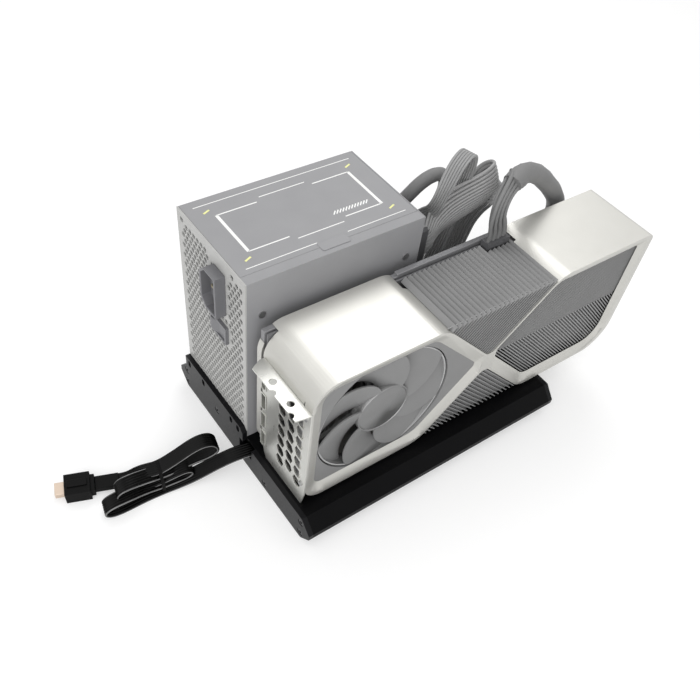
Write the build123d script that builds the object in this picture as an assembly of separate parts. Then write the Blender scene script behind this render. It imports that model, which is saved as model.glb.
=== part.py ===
from build123d import *

import math
import os

# Open dock for an external graphics card: a flat aluminium base with end plates carries a desktop
# power supply on its side and a three-slot card in a riser slot, with a tied flat uplink cable.
# Pieces are drawn in a working frame, in millimetres: X runs along the dock from the left end of its
# extrusion, Y runs from the card towards the supply and is 0 at the supply's near face, and Z is 0 on
# the base's top. place() then moves each piece to the part's frame, on the floor under its middle.

# Fits
RUN_FIT = 0.05
SEAT_GAP = 0.3
SWING_GAP = 0.7
ROCKER_GAP = 1.2
OVERCUT = 1.0

# Dock base
BASE_LENGTH = 237.0
BASE_TOP_WIDTH = 168.0
BASE_FRONT = -81.5
BASE_HEIGHT = 25.0
BASE_WALL = 2.5
SIDE_BULGE = 10.0
WAIST_DROP = 10.5
WAIST_LAND = 4.5
RIB_HEIGHT = 6.5
RIB_WIDTH = 3.0
RIB_INSET = 24.0
BOSS_R = 4.0
LOW_BOSS_R = 2.9
FOOT_R = 7.0
FOOT_T = 1.5
FOOT_INSET = 20.0

# End plates and their screws
PLATE_T = 4.0
LIP_RISE = 11.0
LIP_NEAR = -1.0
LIP_CHAMFER = 4.0
LIP_HOLE_Z = 6.0
LIP_HOLES = (6.0, 16.0, 58.0, 80.0)
LIP_HOLE_WIDTH = 3.8
LIP_HOLE_LENGTH = 6.4
SCREW_INSET = 1.0
SCREW_DROP = 6.0
SCREW_MID_Y = 37.5
SCREW_LOW_Y = -32.0
SCREW_R = 1.45
SCREW_LENGTH = 12.0
HEAD_R = 2.8
HEAD_T = 1.7
HEX_SOCKET_R = 1.4
HEX_SOCKET_DEPTH = 1.0

# Dock board and what stands on it
BOARD_T = 1.6
BOARD_INSET = 4.0
SLOT_LENGTH = 96.0
SLOT_WIDTH = 7.5
SLOT_HEIGHT = 11.3
SLOT_DEPTH = 8.0
MAIN_SOCKET = (52.0, 9.6, 17.0)
MAIN_SOCKET_X = 196.0
MAIN_SOCKET_Y = 35.0
AUX_SOCKET = (19.0, 9.6, 17.0)
AUX_SOCKET_X = 200.0
AUX_SOCKET_Y = 57.0
SOCKET_MARGIN = 1.0
SOCKET_WALL = 1.2
PLUG_RISE = 15.0
HEADER_LENGTH = 15.0
HEADER_WIDTH = 17.0
HEADER_COVER = 1.0

# Power supply, standing on a narrow side
PSU_LENGTH = 140.0
PSU_WIDTH = 86.0
PSU_HEIGHT = 150.0
SHEET = 1.0
TRAY_LIP = 7.7
SEAM = 0.2
TAB_LENGTH = 22.0
TAB_REACH = 4.0
TAB_ROUND = 1.5
VENT_PITCH = 8.4
VENT_R = 3.7
VENT_MARGIN = 8.0
VENT_KEEP = 4.5
MOUNT_HOLE_R = 1.75
MOUNT_NEAR_Y = 16.0
MOUNT_SPACING_Y = 64.0
MOUNT_EDGE_Z = 6.0
INLET_Y = 34.0
INLET_Z = 122.0
INLET_WIDTH = 20.0
INLET_HEIGHT = 34.0
INLET_OUT = 8.0
INLET_IN = 14.0
INLET_CHAMFER = 6.0
INLET_WALL = 1.75
INLET_FLOOR = 3.0
BLADE_T = 2.0
BLADE_W = 4.0
BLADE_SETBACK = 5.0
BLADE_SPREAD = 7.0
BLADE_RAISE = 2.0
BLADE_SEAT = 2.0
SWITCH_Y = 32.5
SWITCH_Z = 87.5
SWITCH_WIDTH = 21.0
SWITCH_HEIGHT = 15.0
SWITCH_OUT = 2.5
SWITCH_IN = 16.0
SWITCH_RIM = 1.8
SWITCH_FLOOR = 2.0
ROCKER_TILT = 8.0
ROCKER_PIN_R = 1.2
ROCKER_PIN_LENGTH = 0.9
ROCKER_AXIS_X = 3.0
ROCKER_CROWN = 4.6
ROCKER_DEPTH = 3.0
PSU_BOARD_RISE = 4.0
PSU_BOARD_EDGE = 9.0
PILLAR_R = 3.0
PILLAR_INSET = 14.0
SIDE_SCREW_R = 2.6
SIDE_SCREW_HEAD = 0.8
SIDE_SCREW_INSET = 12.0
SIDE_SCREW_REACH = 3.0
TRANSFORMER_SIZE = (38.0, 34.0, 34.0)
TRANSFORMER_X = 71.0
TRANSFORMER_FLANGE = 6.0
TRANSFORMER_WAIST = 8.0
BIG_CAN_R = 11.0
BIG_CAN_HEIGHT = 38.0
BIG_CAN_X = 27.0
BIG_CAN_ZS = (30.0, 56.0)
SMALL_CAN_R = 5.0
SMALL_CAN_HEIGHT = 22.0
SMALL_CAN_X = 118.0
SMALL_CAN_ZS = (34.0, 48.0, 62.0, 76.0)
SINK_XS = ((46.0, -1), (103.0, 1))
SINK_T = 3.0
SINK_HEIGHT = 40.0
SINK_MARGIN = 22.0
SINK_RIBS = (12.0, 24.0, 36.0)
SINK_RIB_T = 2.0
SINK_RIB_REACH = 5.0

# Power supply fan
PSU_FAN_SIZE = 120.0
PSU_FAN_DEPTH = 25.0
PSU_FAN_HOLE_R = 57.5
PSU_FAN_HUB_R = 20.0
PSU_FAN_BLADES = 9
PSU_ROTOR_DEPTH = 16.5
GRILLE_WIRE = 1.6
GRILLE_RINGS = 4
GRILLE_FOOT = 6.0
GRILLE_BAR_ANGLES = (45, 135)

# Fans in general
STRUT_W = 5.0
STRUT_T = 3.0
STRUT_ANGLES = (20, 110)
FAN_CORNER_R = 6.0
HUB_ROUND = 1.2
HUB_BOSS_R = 12.0
SHAFT_R = 2.0
SHAFT_LENGTH = 5.5
BOSS_CAP = 1.0
BLADE_SHEET = 1.3
BLADE_INSET = 0.8
BLADE_ROOT_SINK = 1.5
BLADE_MID_SWEEP = 9.0
BLADE_TIP_SWEEP = 24.0
BLADE_ROOT_SHARE = 0.62
BLADE_MID_SHARE = 0.82
BLADE_TIP_SHARE = 0.86
BLADE_STEEPEST = 0.7
RING_INSET = 0.4

# Graphics card
BRACKET_X = 2.0
BRACKET_T = 1.2
BRACKET_NEAR = -73.0
BRACKET_WIDTH = 55.0
BRACKET_TOP = 103.0
BRACKET_FOOT = 0.6
BRACKET_FLANGE = 11.5
BRACKET_TIP = 14.0
BRACKET_HOLE_R = 2.6
BRACKET_HOLE_SETBACK = 6.3
BRACKET_FIRST_HOLE = 19.8
BRACKET_NOTCH_STEP = 7.5
BRACKET_TAPER_NEAR = 3.0
BRACKET_TAPER_FAR = 6.0
FLANGE_CUT_NEAR = 2.0
FLANGE_CUT_FAR = 4.0
CELL_OUTLINE = ((-4.6, 0.0), (-2.6, 4.2), (2.6, 5.4), (4.6, 0.8), (2.6, -4.2), (-2.6, -5.0))
CELL_COLUMNS = 3
CELL_ROWS = 7
CELL_FIRST_Y = 10.0
CELL_FIRST_Z = 19.0
CELL_STEP_Y = 10.6
CELL_STEP_Z = 11.2
BRACKET_SCREW_INSET = 4.5
BRACKET_SCREW_DROP = 7.0
BRACKET_SCREW_RISE = 24.0
BRACKET_SCREW_R = 1.9
BRACKET_SCREW_HEAD = 1.0
SLOT_PITCH = 20.32
FRAME_LENGTH = 309.8
CARD_FRONT = -72.0
CARD_THICK = 63.0
CARD_BOTTOM = 4.0
CARD_HEIGHT = 118.0
CROSS_FROM_LEFT = 156.8
CROSS_HALF = 6.0
CROSS_ROUND = 7.0
SHOULDER_ROUND = 24.0
END_ROUND_TOP = 20.0
END_ROUND_BOTTOM = 16.0
FAR_ROUND_TOP = 6.0
FAR_ROUND_BOTTOM = 26.0
FAR_DISH = 2.5
FRAME_WALL = 2.2
FAR_WALL = 6.0
ARM_WALL = 8.0
BEVEL_WIDTH = 10.0
BEVEL_DEPTH = 3.5
RIDGE = 1.8
TIP_HALF = 2.0
TIP_ROUND = 2.0
MOUTH_TIP_HALF = 10.0
MOUTH_TIP_ROUND = 3.0
CORNER_EASE = 1.0
WINDOW_NEAR = 9.0
WINDOW_FAR = 4.0
WINDOW_EDGE = 8.0
WINDOW_CUT = 16.0
TAB_ROOM = 2.0
ARM_BACK = -24.0
FIN_T = 0.9
FIN_PITCH = 4.3
FIN_SETBACK = 0.8
FIN_DROP = 1.5
SHORTEST_FIN = 4.0
RIGHT_FIN_BACK = -36.0
FAN_FROM_LEFT = 64.3
FAN_HOLE_R = 55.2
FAN_RING_R = 54.5
FAN_RING_T = 1.3
FAN_HUB_R = 21.5
FAN_DEPTH = 12.5
FAN_BLADES = 7
REAR_FAN_FROM_RIGHT = 62.0
ROTOR_INSET = 0.6
CARD_BOARD_BACK = -14.0
CARD_BOARD_T = 1.6
BACK_PLATE_T = 4.0
BACK_PLATE_EAR = 4.0
BACK_PLATE_DROP = 0.5
BACK_HOLE_MARGIN = 1.0
CARD_BOARD_ROOM = 1.5
CARD_BOARD_NOTCH = 3.0
CARD_BOARD_EASE = 8.0
TAB_FROM_LEFT = 46.0
TAB_WIDTH = 90.0
CHIP_SIZE = 40.0
CHIP_T = 2.4
COLD_PLATE_T = 3.0
COLD_PLATE_SIZE = 76.0
INNER_FIN_PITCH = 9.0
INNER_FIN_DEPTH = 22.0
INNER_FIN_OVERHANG = 6.0
PORT_WIDTH = 6.4
PORT_LENGTH = 16.4
PORT_PITCH = 20.5
PORTS = 4
PORT_FIRST_Z = 20.0
PORT_STANDOFF = 1.2
PORT_CUT = 2.0
PORT_OUT = 0.6
PORT_IN = 14.0
PORT_WALL = 0.8
PORT_MOUTH = 8.0
PORT_STEM_HALF = 4.0
POWER_SOCKET = (20.0, 6.4, 13.0)
POWER_SOCKET_X = 196.0
CARD_PLUG_MARGIN = 0.7
CARD_PLUG_CLIP = (6.0, 1.2, 8.0)

# Uplink cable: flat, folded up and down on itself and tied, with its folds fanned out
CABLE_WIDTH = 13.0
CABLE_T = 2.4
CABLE_Y = -5.0
CABLE_EXIT_HEIGHT = 18.5
CABLE_SKEW = 13.0
CABLE_ROUTE = ((-13.0, 18.5), (4.0, 18.5), (22.0, 13.0), (38.0, 5.5), (54.0, 2.0))
NOTCH_MARGIN = 2.0
TIE_AT = 64.0
TIE_HEIGHT = 7.4
TIE_R = 6.2
HANK_LOOPS = ((38.0, 6.6, 5.6, 1.0, -14.0), (27.0, 11.5, 6.0, 2.0, -8.0), (-20.0, 8.2, 4.2, 2.0, -6.0),
              (-37.0, 20.0, 8.0, 6.0, -8.0))
TIE_BAND = 1.0
TIE_WIDTH = 2.4
TAIL_SKEW = 20.0
TAIL_SHIFT = 8.0
TAIL_ROUTE = ((2.0, 11.4), (9.0, 12.4), (16.0, 10.2), (23.0, 5.7), (29.0, 5.6))
NECK_START = 29.0
NECK_LENGTH = 17.0
NECK_WIDTH = 11.5
NECK_T = 4.4
PLUG_LENGTH = 21.0
PLUG_WIDTH = 18.0
PLUG_T = 11.0
PLUG_STEP = 3.0
PLUG_BACK_INSET = 1.8
NOSE_LENGTH = 7.0
NOSE_WIDTH = 10.6
NOSE_T = 4.4
NOSE_WALL = 0.6
TONGUE_T = 1.0
TONGUE_SETBACK = 1.5
LATCH_T = 1.2
LATCH_INSET = 2.0

# Power leads: routes through the air from the supply's sockets to the dock and the card
LEAD_SOCKET_OUT = 3.0
LEAD_PLUG_OUT = 17.0
LEAD_SOCKET_RIM = 1.0
WIDE_LEAD_R = 4.0
SIX_LEAD_R = 3.5
SLEEVED_LEAD_R = 4.0
CARD_LEAD_R = 7.0
WIDE_SOCKET = (16.0, 110.0, 11.0, 30.0)
SIX_SOCKET = (33.0, 116.0, 11.0, 20.0)
SLEEVED_SOCKET = (56.0, 112.0, 11.0, 20.0)
CARD_SOCKET = (20.0, 40.0, 20.0, 14.0)
WIDE_ROUTE = (
    (157, 16, 110), (164, 16, 110), (171, 14.5, 116), (176, 11, 128), (181, 7, 143), (185.5, 4, 157),
    (189.5, 2.2, 167.5), (195.5, 2, 174.5), (203, 4.5, 175), (208.5, 9, 168.5), (211, 15.5, 155),
    (211, 22.5, 133), (209, 29, 106), (208, 33, 76), (208, 34, 50), (207, 35, 31), (207, 35, 15))
SIX_ROUTE = (
    (157, 33, 116), (164, 33, 116), (168.5, 31, 122), (168.5, 27, 135), (165, 20, 152), (162.5, 13, 169),
    (161.5, 7.5, 183), (163, 4.3, 194), (167.5, 3.5, 202), (174.5, 6, 205), (180.5, 11.5, 201.5),
    (183, 18, 190.5), (184, 24, 172), (185.5, 29, 147), (186, 33, 115), (185, 35, 80), (185, 36, 51),
    (184, 35, 32), (184, 35, 15))
SLEEVED_ROUTE = (
    (157, 56, 112), (164, 56, 112), (169, 55.5, 118), (170, 54.5, 131), (171, 53, 145), (174.5, 50.5, 157),
    (180.5, 48.5, 165), (188.5, 47, 167), (195.5, 46.5, 162), (200, 47, 152), (202, 50, 135),
    (203, 54, 110), (202, 57, 82), (201, 58, 53), (200, 57, 33), (200, 57, 15))
CARD_ROUTE = (
    (157, 20, 40), (171, 20, 40), (191, 18.5, 37), (214, 16, 32), (238, 14, 31), (260, 12, 39),
    (277, 10, 56), (287, 8, 78), (290, 4, 103), (286, -1, 127), (275, -6, 147), (258, -10, 160),
    (238, -13, 166), (218, -16, 164), (204, -18, 156.5), (196, -18.8, 145.5), (196, -18.8, 134))

# Worked out from the driving dimensions
BASE_BACK = BASE_FRONT + BASE_TOP_WIDTH
FLOOR = -BASE_HEIGHT - FOOT_T
BOARD_BOTTOM = -BASE_HEIGHT + BASE_WALL + RIB_HEIGHT
BOARD_TOP = BOARD_BOTTOM + BOARD_T
LIP_FAR = PSU_WIDTH
CARD_LEFT = BRACKET_X + BRACKET_T
CARD_RIGHT = CARD_LEFT + FRAME_LENGTH
CARD_BACK = CARD_FRONT + CARD_THICK
CARD_TOP = CARD_BOTTOM + CARD_HEIGHT
CROSS_X = CARD_LEFT + CROSS_FROM_LEFT
CROSS_Z = CARD_BOTTOM + CARD_HEIGHT / 2
LIP_BACK = CARD_FRONT + BEVEL_DEPTH
FAN_X = CARD_LEFT + FAN_FROM_LEFT
REAR_FAN_X = CARD_RIGHT - REAR_FAN_FROM_RIGHT
BACK_PLATE_FRONT = CARD_BACK - BACK_PLATE_T
CARD_BOARD_FRONT = CARD_BOARD_BACK - CARD_BOARD_T
TAB_X = CARD_LEFT + TAB_FROM_LEFT
TAB_BOTTOM = BOARD_TOP + SLOT_HEIGHT - SLOT_DEPTH + SEAT_GAP
BRACKET_FAR = BRACKET_NEAR + BRACKET_WIDTH
ROTOR_DEPTH = FAN_DEPTH - STRUT_T - ROTOR_INSET - SWING_GAP
CARD_BOARD_MID = (CARD_BOARD_FRONT + CARD_BOARD_BACK) / 2
COLD_PLATE_BACK = CARD_BOARD_FRONT - CHIP_T
PORT_Y = CARD_BOARD_FRONT - PORT_WIDTH / 2 - PORT_STANDOFF
PSU_BOARD_TOP = SHEET + PSU_BOARD_RISE + BOARD_T
PLUG_START = NECK_START + NECK_LENGTH
PLUG_END = PLUG_START + PLUG_LENGTH
PLUG_MID = TAIL_ROUTE[-1][1]
DOCK_SOCKETS = ((MAIN_SOCKET, MAIN_SOCKET_X, MAIN_SOCKET_Y), (AUX_SOCKET, AUX_SOCKET_X, AUX_SOCKET_Y))
LEAD_SOCKETS = (WIDE_SOCKET, SIX_SOCKET, SLEEVED_SOCKET, CARD_SOCKET)
FOOTPRINT_LEFT = CARD_LEFT - BRACKET_FLANGE
FOOTPRINT_FRONT = BASE_FRONT - SIDE_BULGE
FOOTPRINT_BACK = BASE_BACK + SIDE_BULGE
ORIGIN = ((FOOTPRINT_LEFT + CARD_RIGHT) / 2, (FOOTPRINT_FRONT + FOOTPRINT_BACK) / 2, FLOOR)
ROOT_TWO = math.sqrt(2)


def place(shape):
    """Moves a piece from the working frame to the part's frame."""
    return Pos(-ORIGIN[0], -ORIGIN[1], -ORIGIN[2]) * shape


def block(x0, x1, y0, y1, z0, z1):
    """Box between two corners."""
    return Pos((x0 + x1) / 2, (y0 + y1) / 2, (z0 + z1) / 2) * Box(x1 - x0, y1 - y0, z1 - z0)


def along_x(face, x0, x1):
    """Prism of a face drawn in Y and Z."""
    return extrude(Pos(x0, 0, 0) * (Plane.YZ * face), amount=x1 - x0)


def along_y(face, y0, y1):
    """Prism of a face drawn in X and Z."""
    return extrude(Pos(0, y1, 0) * (Plane.XZ * face), amount=y1 - y0)


def outline(points, radii=0):
    """Closed face through the points, each corner rounded by its radius."""
    if radii == 0:
        return make_face(Polyline(*points, close=True))
    return make_face(FilletPolyline(*points, radius=radii, close=True))


def rectangle(a0, a1, b0, b1):
    """Flat rectangle between two corners."""
    return Pos((a0 + a1) / 2, (b0 + b1) / 2) * Rectangle(a1 - a0, b1 - b0)


def disc(a, b, r):
    """Flat disc."""
    return Pos(a, b) * Circle(r)


def post(x, y, width, depth, z0, z1):
    """Upright box centred on X and Y."""
    return block(x - width / 2, x + width / 2, y - depth / 2, y + depth / 2, z0, z1)


def rod_x(x0, x1, y, z, r):
    """Round rod along X."""
    return along_x(disc(y, z, r), x0, x1)


def rod_y(y0, y1, x, z, r):
    """Round rod along Y."""
    return along_y(disc(x, z, r), y0, y1)


def solids(pieces):
    """One node from separate solids."""
    found = []
    for piece in pieces:
        found.extend(piece.solids())
    return Compound(found)


def bend_radii(points):
    """Largest even bends of a route: 0.45 of the shorter run, over the tangent of half the turn."""
    radii = []
    for before, here, after in zip(points, points[1:], points[2:]):
        run_in = Vector(here) - Vector(before)
        run_out = Vector(after) - Vector(here)
        turn = math.radians(run_in.get_angle(run_out))
        radii.append(0.45 * min(run_in.length, run_out.length) / math.tan(turn / 2))
    return radii


def cord(name, points, section):
    """Cord's solid along straight runs and tangent arcs, with its section given in its own plane."""
    radii = bend_radii(points)
    path = FilletPolyline(*points, radius=radii)
    tube = sweep(Plane(origin=path @ 0, x_dir=section[0], z_dir=path % 0) * section[1], path=path)
    expected = section[1].area * path.length
    share = tube.volume / expected
    print(f"{name}: length {path.length:.0f}, volume {share:.3f} of section times length, bends",
          [round(r) for r in radii])
    return tube


# Dock base


def base_profile():
    """Flat six-sided section with short upright lands at its waist, in Y and Z."""
    waist = -WAIST_DROP
    land = -WAIST_DROP - WAIST_LAND
    return outline([(BASE_FRONT, 0), (BASE_FRONT - SIDE_BULGE, waist), (BASE_FRONT - SIDE_BULGE, land),
                    (BASE_FRONT, -BASE_HEIGHT), (BASE_BACK, -BASE_HEIGHT), (BASE_BACK + SIDE_BULGE, land),
                    (BASE_BACK + SIDE_BULGE, waist), (BASE_BACK, 0)])


def plate_screw_places():
    """Y and Z of the screws that hold an end plate."""
    high = -SCREW_DROP
    low = -BASE_HEIGHT + SCREW_DROP
    near = BASE_FRONT + SCREW_INSET
    far = BASE_BACK - SCREW_INSET
    return [(near, high), (near, low), (far, high), (far, low), (SCREW_MID_Y, high), (SCREW_LOW_Y, low)]


def socket_cutouts():
    """Holes in the base's top for the card slot and the two power sockets."""
    sockets = ((SLOT_LENGTH, SLOT_WIDTH), TAB_X + TAB_WIDTH / 2, CARD_BOARD_MID), *DOCK_SOCKETS
    room = 2 * SOCKET_MARGIN
    return [post(x, y, size[0] + room, size[1] + room, BOARD_TOP + SEAT_GAP, OVERCUT)
            for size, x, y in sockets]


def base_extrusion():
    """Hollow profile with screw bosses, board ribs and openings in its top."""
    profile = base_profile()
    section = profile - offset(profile, amount=-BASE_WALL, kind=Kind.INTERSECTION)
    rib_bottom = -BASE_HEIGHT + BASE_WALL / 2
    for y in (BASE_FRONT + RIB_INSET, (BASE_FRONT + BASE_BACK) / 2, BASE_BACK - RIB_INSET):
        section += rectangle(y - RIB_WIDTH / 2, y + RIB_WIDTH / 2, rib_bottom, BOARD_BOTTOM)
    for y, z in plate_screw_places()[:-1]:
        section += disc(y, z, BOSS_R) & profile
    low_y, low_z = plate_screw_places()[-1]
    section += disc(low_y, low_z, LOW_BOSS_R)
    section += rectangle(low_y - RIB_WIDTH / 2, low_y + RIB_WIDTH / 2, rib_bottom, low_z)
    for y, z in plate_screw_places():
        section -= disc(y, z, SCREW_R + RUN_FIT)
    return along_x(section, 0, BASE_LENGTH) - socket_cutouts()


def plate_with_screw_seats(face, x0, x1, outside):
    """End plate cut for its screws, with head seats on the side that outside points to."""
    plate = along_x(face, x0, x1)
    for y, z in plate_screw_places():
        plate -= rod_x(x0 - 1, x1 + 1, y, z, SCREW_R + SEAT_GAP)
        seat = HEAD_T + SEAT_GAP
        if outside < 0:
            plate -= rod_x(x0 - 1, x0 + seat, y, z, HEAD_R + SEAT_GAP)
        else:
            plate -= rod_x(x1 - seat, x1 + 1, y, z, HEAD_R + SEAT_GAP)
    return plate


def end_plate_left():
    """Left plate with a raised lip before the supply, its slotted holes and the cable's notch."""
    lip = outline([(LIP_NEAR, -1), (LIP_NEAR, LIP_RISE - LIP_CHAMFER), (LIP_NEAR + LIP_CHAMFER, LIP_RISE),
                   (LIP_FAR, LIP_RISE), (LIP_FAR, -1)])
    face = base_profile() + lip
    for y in LIP_HOLES:
        face -= Pos(y, LIP_HOLE_Z) * Rot(0, 0, 90) * SlotOverall(LIP_HOLE_LENGTH, LIP_HOLE_WIDTH)
    plate = plate_with_screw_seats(face, -PLATE_T, 0, -1)
    return plate - cable_notch()


def cable_notch():
    """Opening in the left plate that the uplink cable leaves by, open at the top beside the lip."""
    half = CABLE_WIDTH / 2 + NOTCH_MARGIN
    near, far = CABLE_Y - half, CABLE_Y + half
    bottom = FLOOR + CABLE_EXIT_HEIGHT - CABLE_T / 2 - NOTCH_MARGIN
    under_lip = block(-PLATE_T - 1, 1, near, far, bottom, -NOTCH_MARGIN)
    return under_lip + block(-PLATE_T - 1, 1, near, min(far, LIP_NEAR), bottom, LIP_RISE + 1)


def end_plate_right():
    """Plain right plate."""
    return plate_with_screw_seats(base_profile(), BASE_LENGTH, BASE_LENGTH + PLATE_T, 1)


def plate_screws():
    """Socket-head screws of both end plates."""
    screws = []
    hexagon = RegularPolygon(HEX_SOCKET_R, 6)
    for y, z in plate_screw_places():
        left = -PLATE_T + SEAT_GAP
        head = rod_x(left, left + HEAD_T, y, z, HEAD_R)
        shank = rod_x(left + HEAD_T, left + HEAD_T + SCREW_LENGTH, y, z, SCREW_R)
        socket = along_x(Pos(y, z) * hexagon, left - 1, left + HEX_SOCKET_DEPTH)
        screws.append(head + shank - socket)
        right = BASE_LENGTH + PLATE_T - SEAT_GAP
        head = rod_x(right - HEAD_T, right, y, z, HEAD_R)
        shank = rod_x(right - HEAD_T - SCREW_LENGTH, right - HEAD_T, y, z, SCREW_R)
        socket = along_x(Pos(y, z) * hexagon, right - HEX_SOCKET_DEPTH, right + 1)
        screws.append(head + shank - socket)
    return solids(screws)


def rubber_feet():
    """Four round feet under the base's corners."""
    feet = []
    for x in (FOOT_INSET, BASE_LENGTH - FOOT_INSET):
        for y in (BASE_FRONT + FOOT_INSET, BASE_BACK - FOOT_INSET):
            feet.append(Pos(x, y, FLOOR + FOOT_T / 2) * Cylinder(FOOT_R, FOOT_T))
    return solids(feet)


def dock_board():
    """Circuit board on the base's ribs."""
    inset = SCREW_INSET + BOSS_R + BOARD_INSET
    return block(BOARD_INSET, BASE_LENGTH - BOARD_INSET, BASE_FRONT + inset, BASE_BACK - inset,
                 BOARD_BOTTOM, BOARD_TOP)


def card_slot():
    """Riser slot with a channel for the card's edge."""
    mid = TAB_X + TAB_WIDTH / 2
    top = BOARD_TOP + SLOT_HEIGHT
    body = post(mid, CARD_BOARD_MID, SLOT_LENGTH, SLOT_WIDTH, BOARD_TOP, top)
    room = 2 * SEAT_GAP
    channel = post(mid, CARD_BOARD_MID, TAB_WIDTH + room, CARD_BOARD_T + room, top - SLOT_DEPTH, top + OVERCUT)
    return body - channel


def dock_socket(size, x, y):
    """Upright power socket with a shrouded mouth on the dock board."""
    top = BOARD_TOP + size[2]
    walls = 2 * SOCKET_WALL
    mouth = post(x, y, size[0] - walls, size[1] - walls, top - size[2] / 2, top + OVERCUT)
    return post(x, y, size[0], size[1], BOARD_TOP, top) - mouth


def dock_plug(size, x, y):
    """Plug that fills a dock socket's mouth and stands above it."""
    bottom = BOARD_TOP + size[2] / 2 + SEAT_GAP
    top = BOARD_TOP + size[2] + SEAT_GAP
    walls = 2 * (SOCKET_WALL + SEAT_GAP)
    return post(x, y, size[0] - walls, size[1] - walls, bottom, top) + post(x, y, size[0], size[1], top, PLUG_RISE)


def uplink_header():
    """Board connector that the uplink cable is soldered to, just inside the left plate."""
    inner = Vector(*hank_point(CABLE_ROUTE[0]))
    skew_room = CABLE_WIDTH / 2 * math.sin(math.radians(CABLE_SKEW)) + RUN_FIT
    start = inner.X + skew_room
    return post(start + HEADER_LENGTH / 2, inner.Y, HEADER_LENGTH, HEADER_WIDTH, BOARD_TOP,
                inner.Z + CABLE_T / 2 + HEADER_COVER)


# Power supply


def vent_places():
    """Staggered honeycomb over the inlet panel, clear of the inlet, the switch and the corner holes."""
    keep_out = [(INLET_Y, INLET_Z, INLET_WIDTH / 2 + VENT_KEEP, INLET_HEIGHT / 2 + VENT_KEEP),
                (SWITCH_Y, SWITCH_Z, SWITCH_WIDTH / 2 + VENT_KEEP, SWITCH_HEIGHT / 2 + VENT_KEEP)]
    hole_room = VENT_R + MOUNT_HOLE_R + SHEET
    for y, z in psu_mount_places():
        keep_out.append((y, z, hole_room, hole_room))
    row_step = VENT_PITCH * math.sqrt(3) / 2
    rows = int((PSU_HEIGHT - 2 * VENT_MARGIN) / row_step) + 1
    columns = int((PSU_WIDTH - 2 * VENT_MARGIN) / VENT_PITCH) + 1
    places = []
    for row in range(rows):
        shift = VENT_PITCH / 2 * (row % 2)
        z = VENT_MARGIN + row * row_step
        for column in range(columns):
            y = VENT_MARGIN + shift + column * VENT_PITCH
            blocked = any(abs(y - ky) < wy and abs(z - kz) < wz for ky, kz, wy, wz in keep_out)
            if y < PSU_WIDTH - VENT_MARGIN + SHEET and not blocked:
                places.append((y, z))
    return places


def psu_mount_places():
    """Y and Z of the supply's threaded holes in its inlet panel."""
    heights = (MOUNT_EDGE_Z, PSU_HEIGHT - MOUNT_EDGE_Z)
    return [(MOUNT_NEAR_Y + dy, z) for dy in (0, MOUNT_SPACING_Y) for z in heights]


def inlet_outline(inset):
    """Inlet's outline in Y and Z, moved in evenly: upright, with its two far corners cut off."""
    y0, y1 = INLET_Y - INLET_WIDTH / 2 + inset, INLET_Y + INLET_WIDTH / 2 - inset
    z0, z1 = INLET_Z - INLET_HEIGHT / 2 + inset, INLET_Z + INLET_HEIGHT / 2 - inset
    cut = INLET_CHAMFER - inset * (2 - ROOT_TWO)
    return outline([(y0, z0), (y0, z1), (y1 - cut, z1), (y1, z1 - cut), (y1, z0 + cut), (y1 - cut, z0)])


def switch_outline(inset):
    """Switch's outline in Y and Z."""
    return rectangle(SWITCH_Y - SWITCH_WIDTH / 2 + inset, SWITCH_Y + SWITCH_WIDTH / 2 - inset,
                     SWITCH_Z - SWITCH_HEIGHT / 2 + inset, SWITCH_Z + SWITCH_HEIGHT / 2 - inset)


def psu_inlet_panel():
    """Tray's end with the mains inlet and switch, pierced by a honeycomb."""
    cuts = [Pos(y, z) * RegularPolygon(VENT_R, 6, rotation=30) for y, z in vent_places()]
    cuts += [disc(y, z, MOUNT_HOLE_R) for y, z in psu_mount_places()]
    cuts += [inlet_outline(INLET_WALL - SEAT_GAP), switch_outline(SWITCH_RIM / 2 - SEAT_GAP)]
    return along_x(rectangle(0, PSU_WIDTH, 0, PSU_HEIGHT) - cuts, 0, SHEET)


def psu_lead_panel():
    """Tray's end that the lead sockets sit on."""
    return block(PSU_LENGTH - SHEET, PSU_LENGTH, 0, PSU_WIDTH, 0, PSU_HEIGHT)


def psu_tray():
    """Tray between its two ends: near side and narrow lips, with board pillars."""
    x0, x1 = SHEET, PSU_LENGTH - SHEET
    tray = block(x0, x1, 0, SHEET, 0, PSU_HEIGHT)
    for z0 in (0, PSU_HEIGHT - SHEET):
        tray += block(x0, x1, 0, TRAY_LIP, z0, z0 + SHEET)
    for x in (PILLAR_INSET, PSU_LENGTH - PILLAR_INSET):
        for z in (PILLAR_INSET, PSU_HEIGHT - PILLAR_INSET):
            tray += rod_y(SHEET, SHEET + PSU_BOARD_RISE, x, z, PILLAR_R)
    for x, z in side_screw_places():
        tray -= rod_y(-1, SHEET + 1, x, z, SCREW_R + RUN_FIT)
    return tray


def side_screw_places():
    """X and Z of the small screws in the supply's near side."""
    inset = SIDE_SCREW_INSET
    rise = PILLAR_INSET + PILLAR_R + inset
    return [(x, z) for x in (inset, PSU_LENGTH - inset) for z in (rise, PSU_HEIGHT - rise)]


def psu_side_screws():
    """Low-head screws in the supply's near side."""
    return solids([rod_y(-SIDE_SCREW_HEAD, 0, x, z, SIDE_SCREW_R) + rod_y(0, SIDE_SCREW_REACH, x, z, SCREW_R)
                   for x, z in side_screw_places()])


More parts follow.
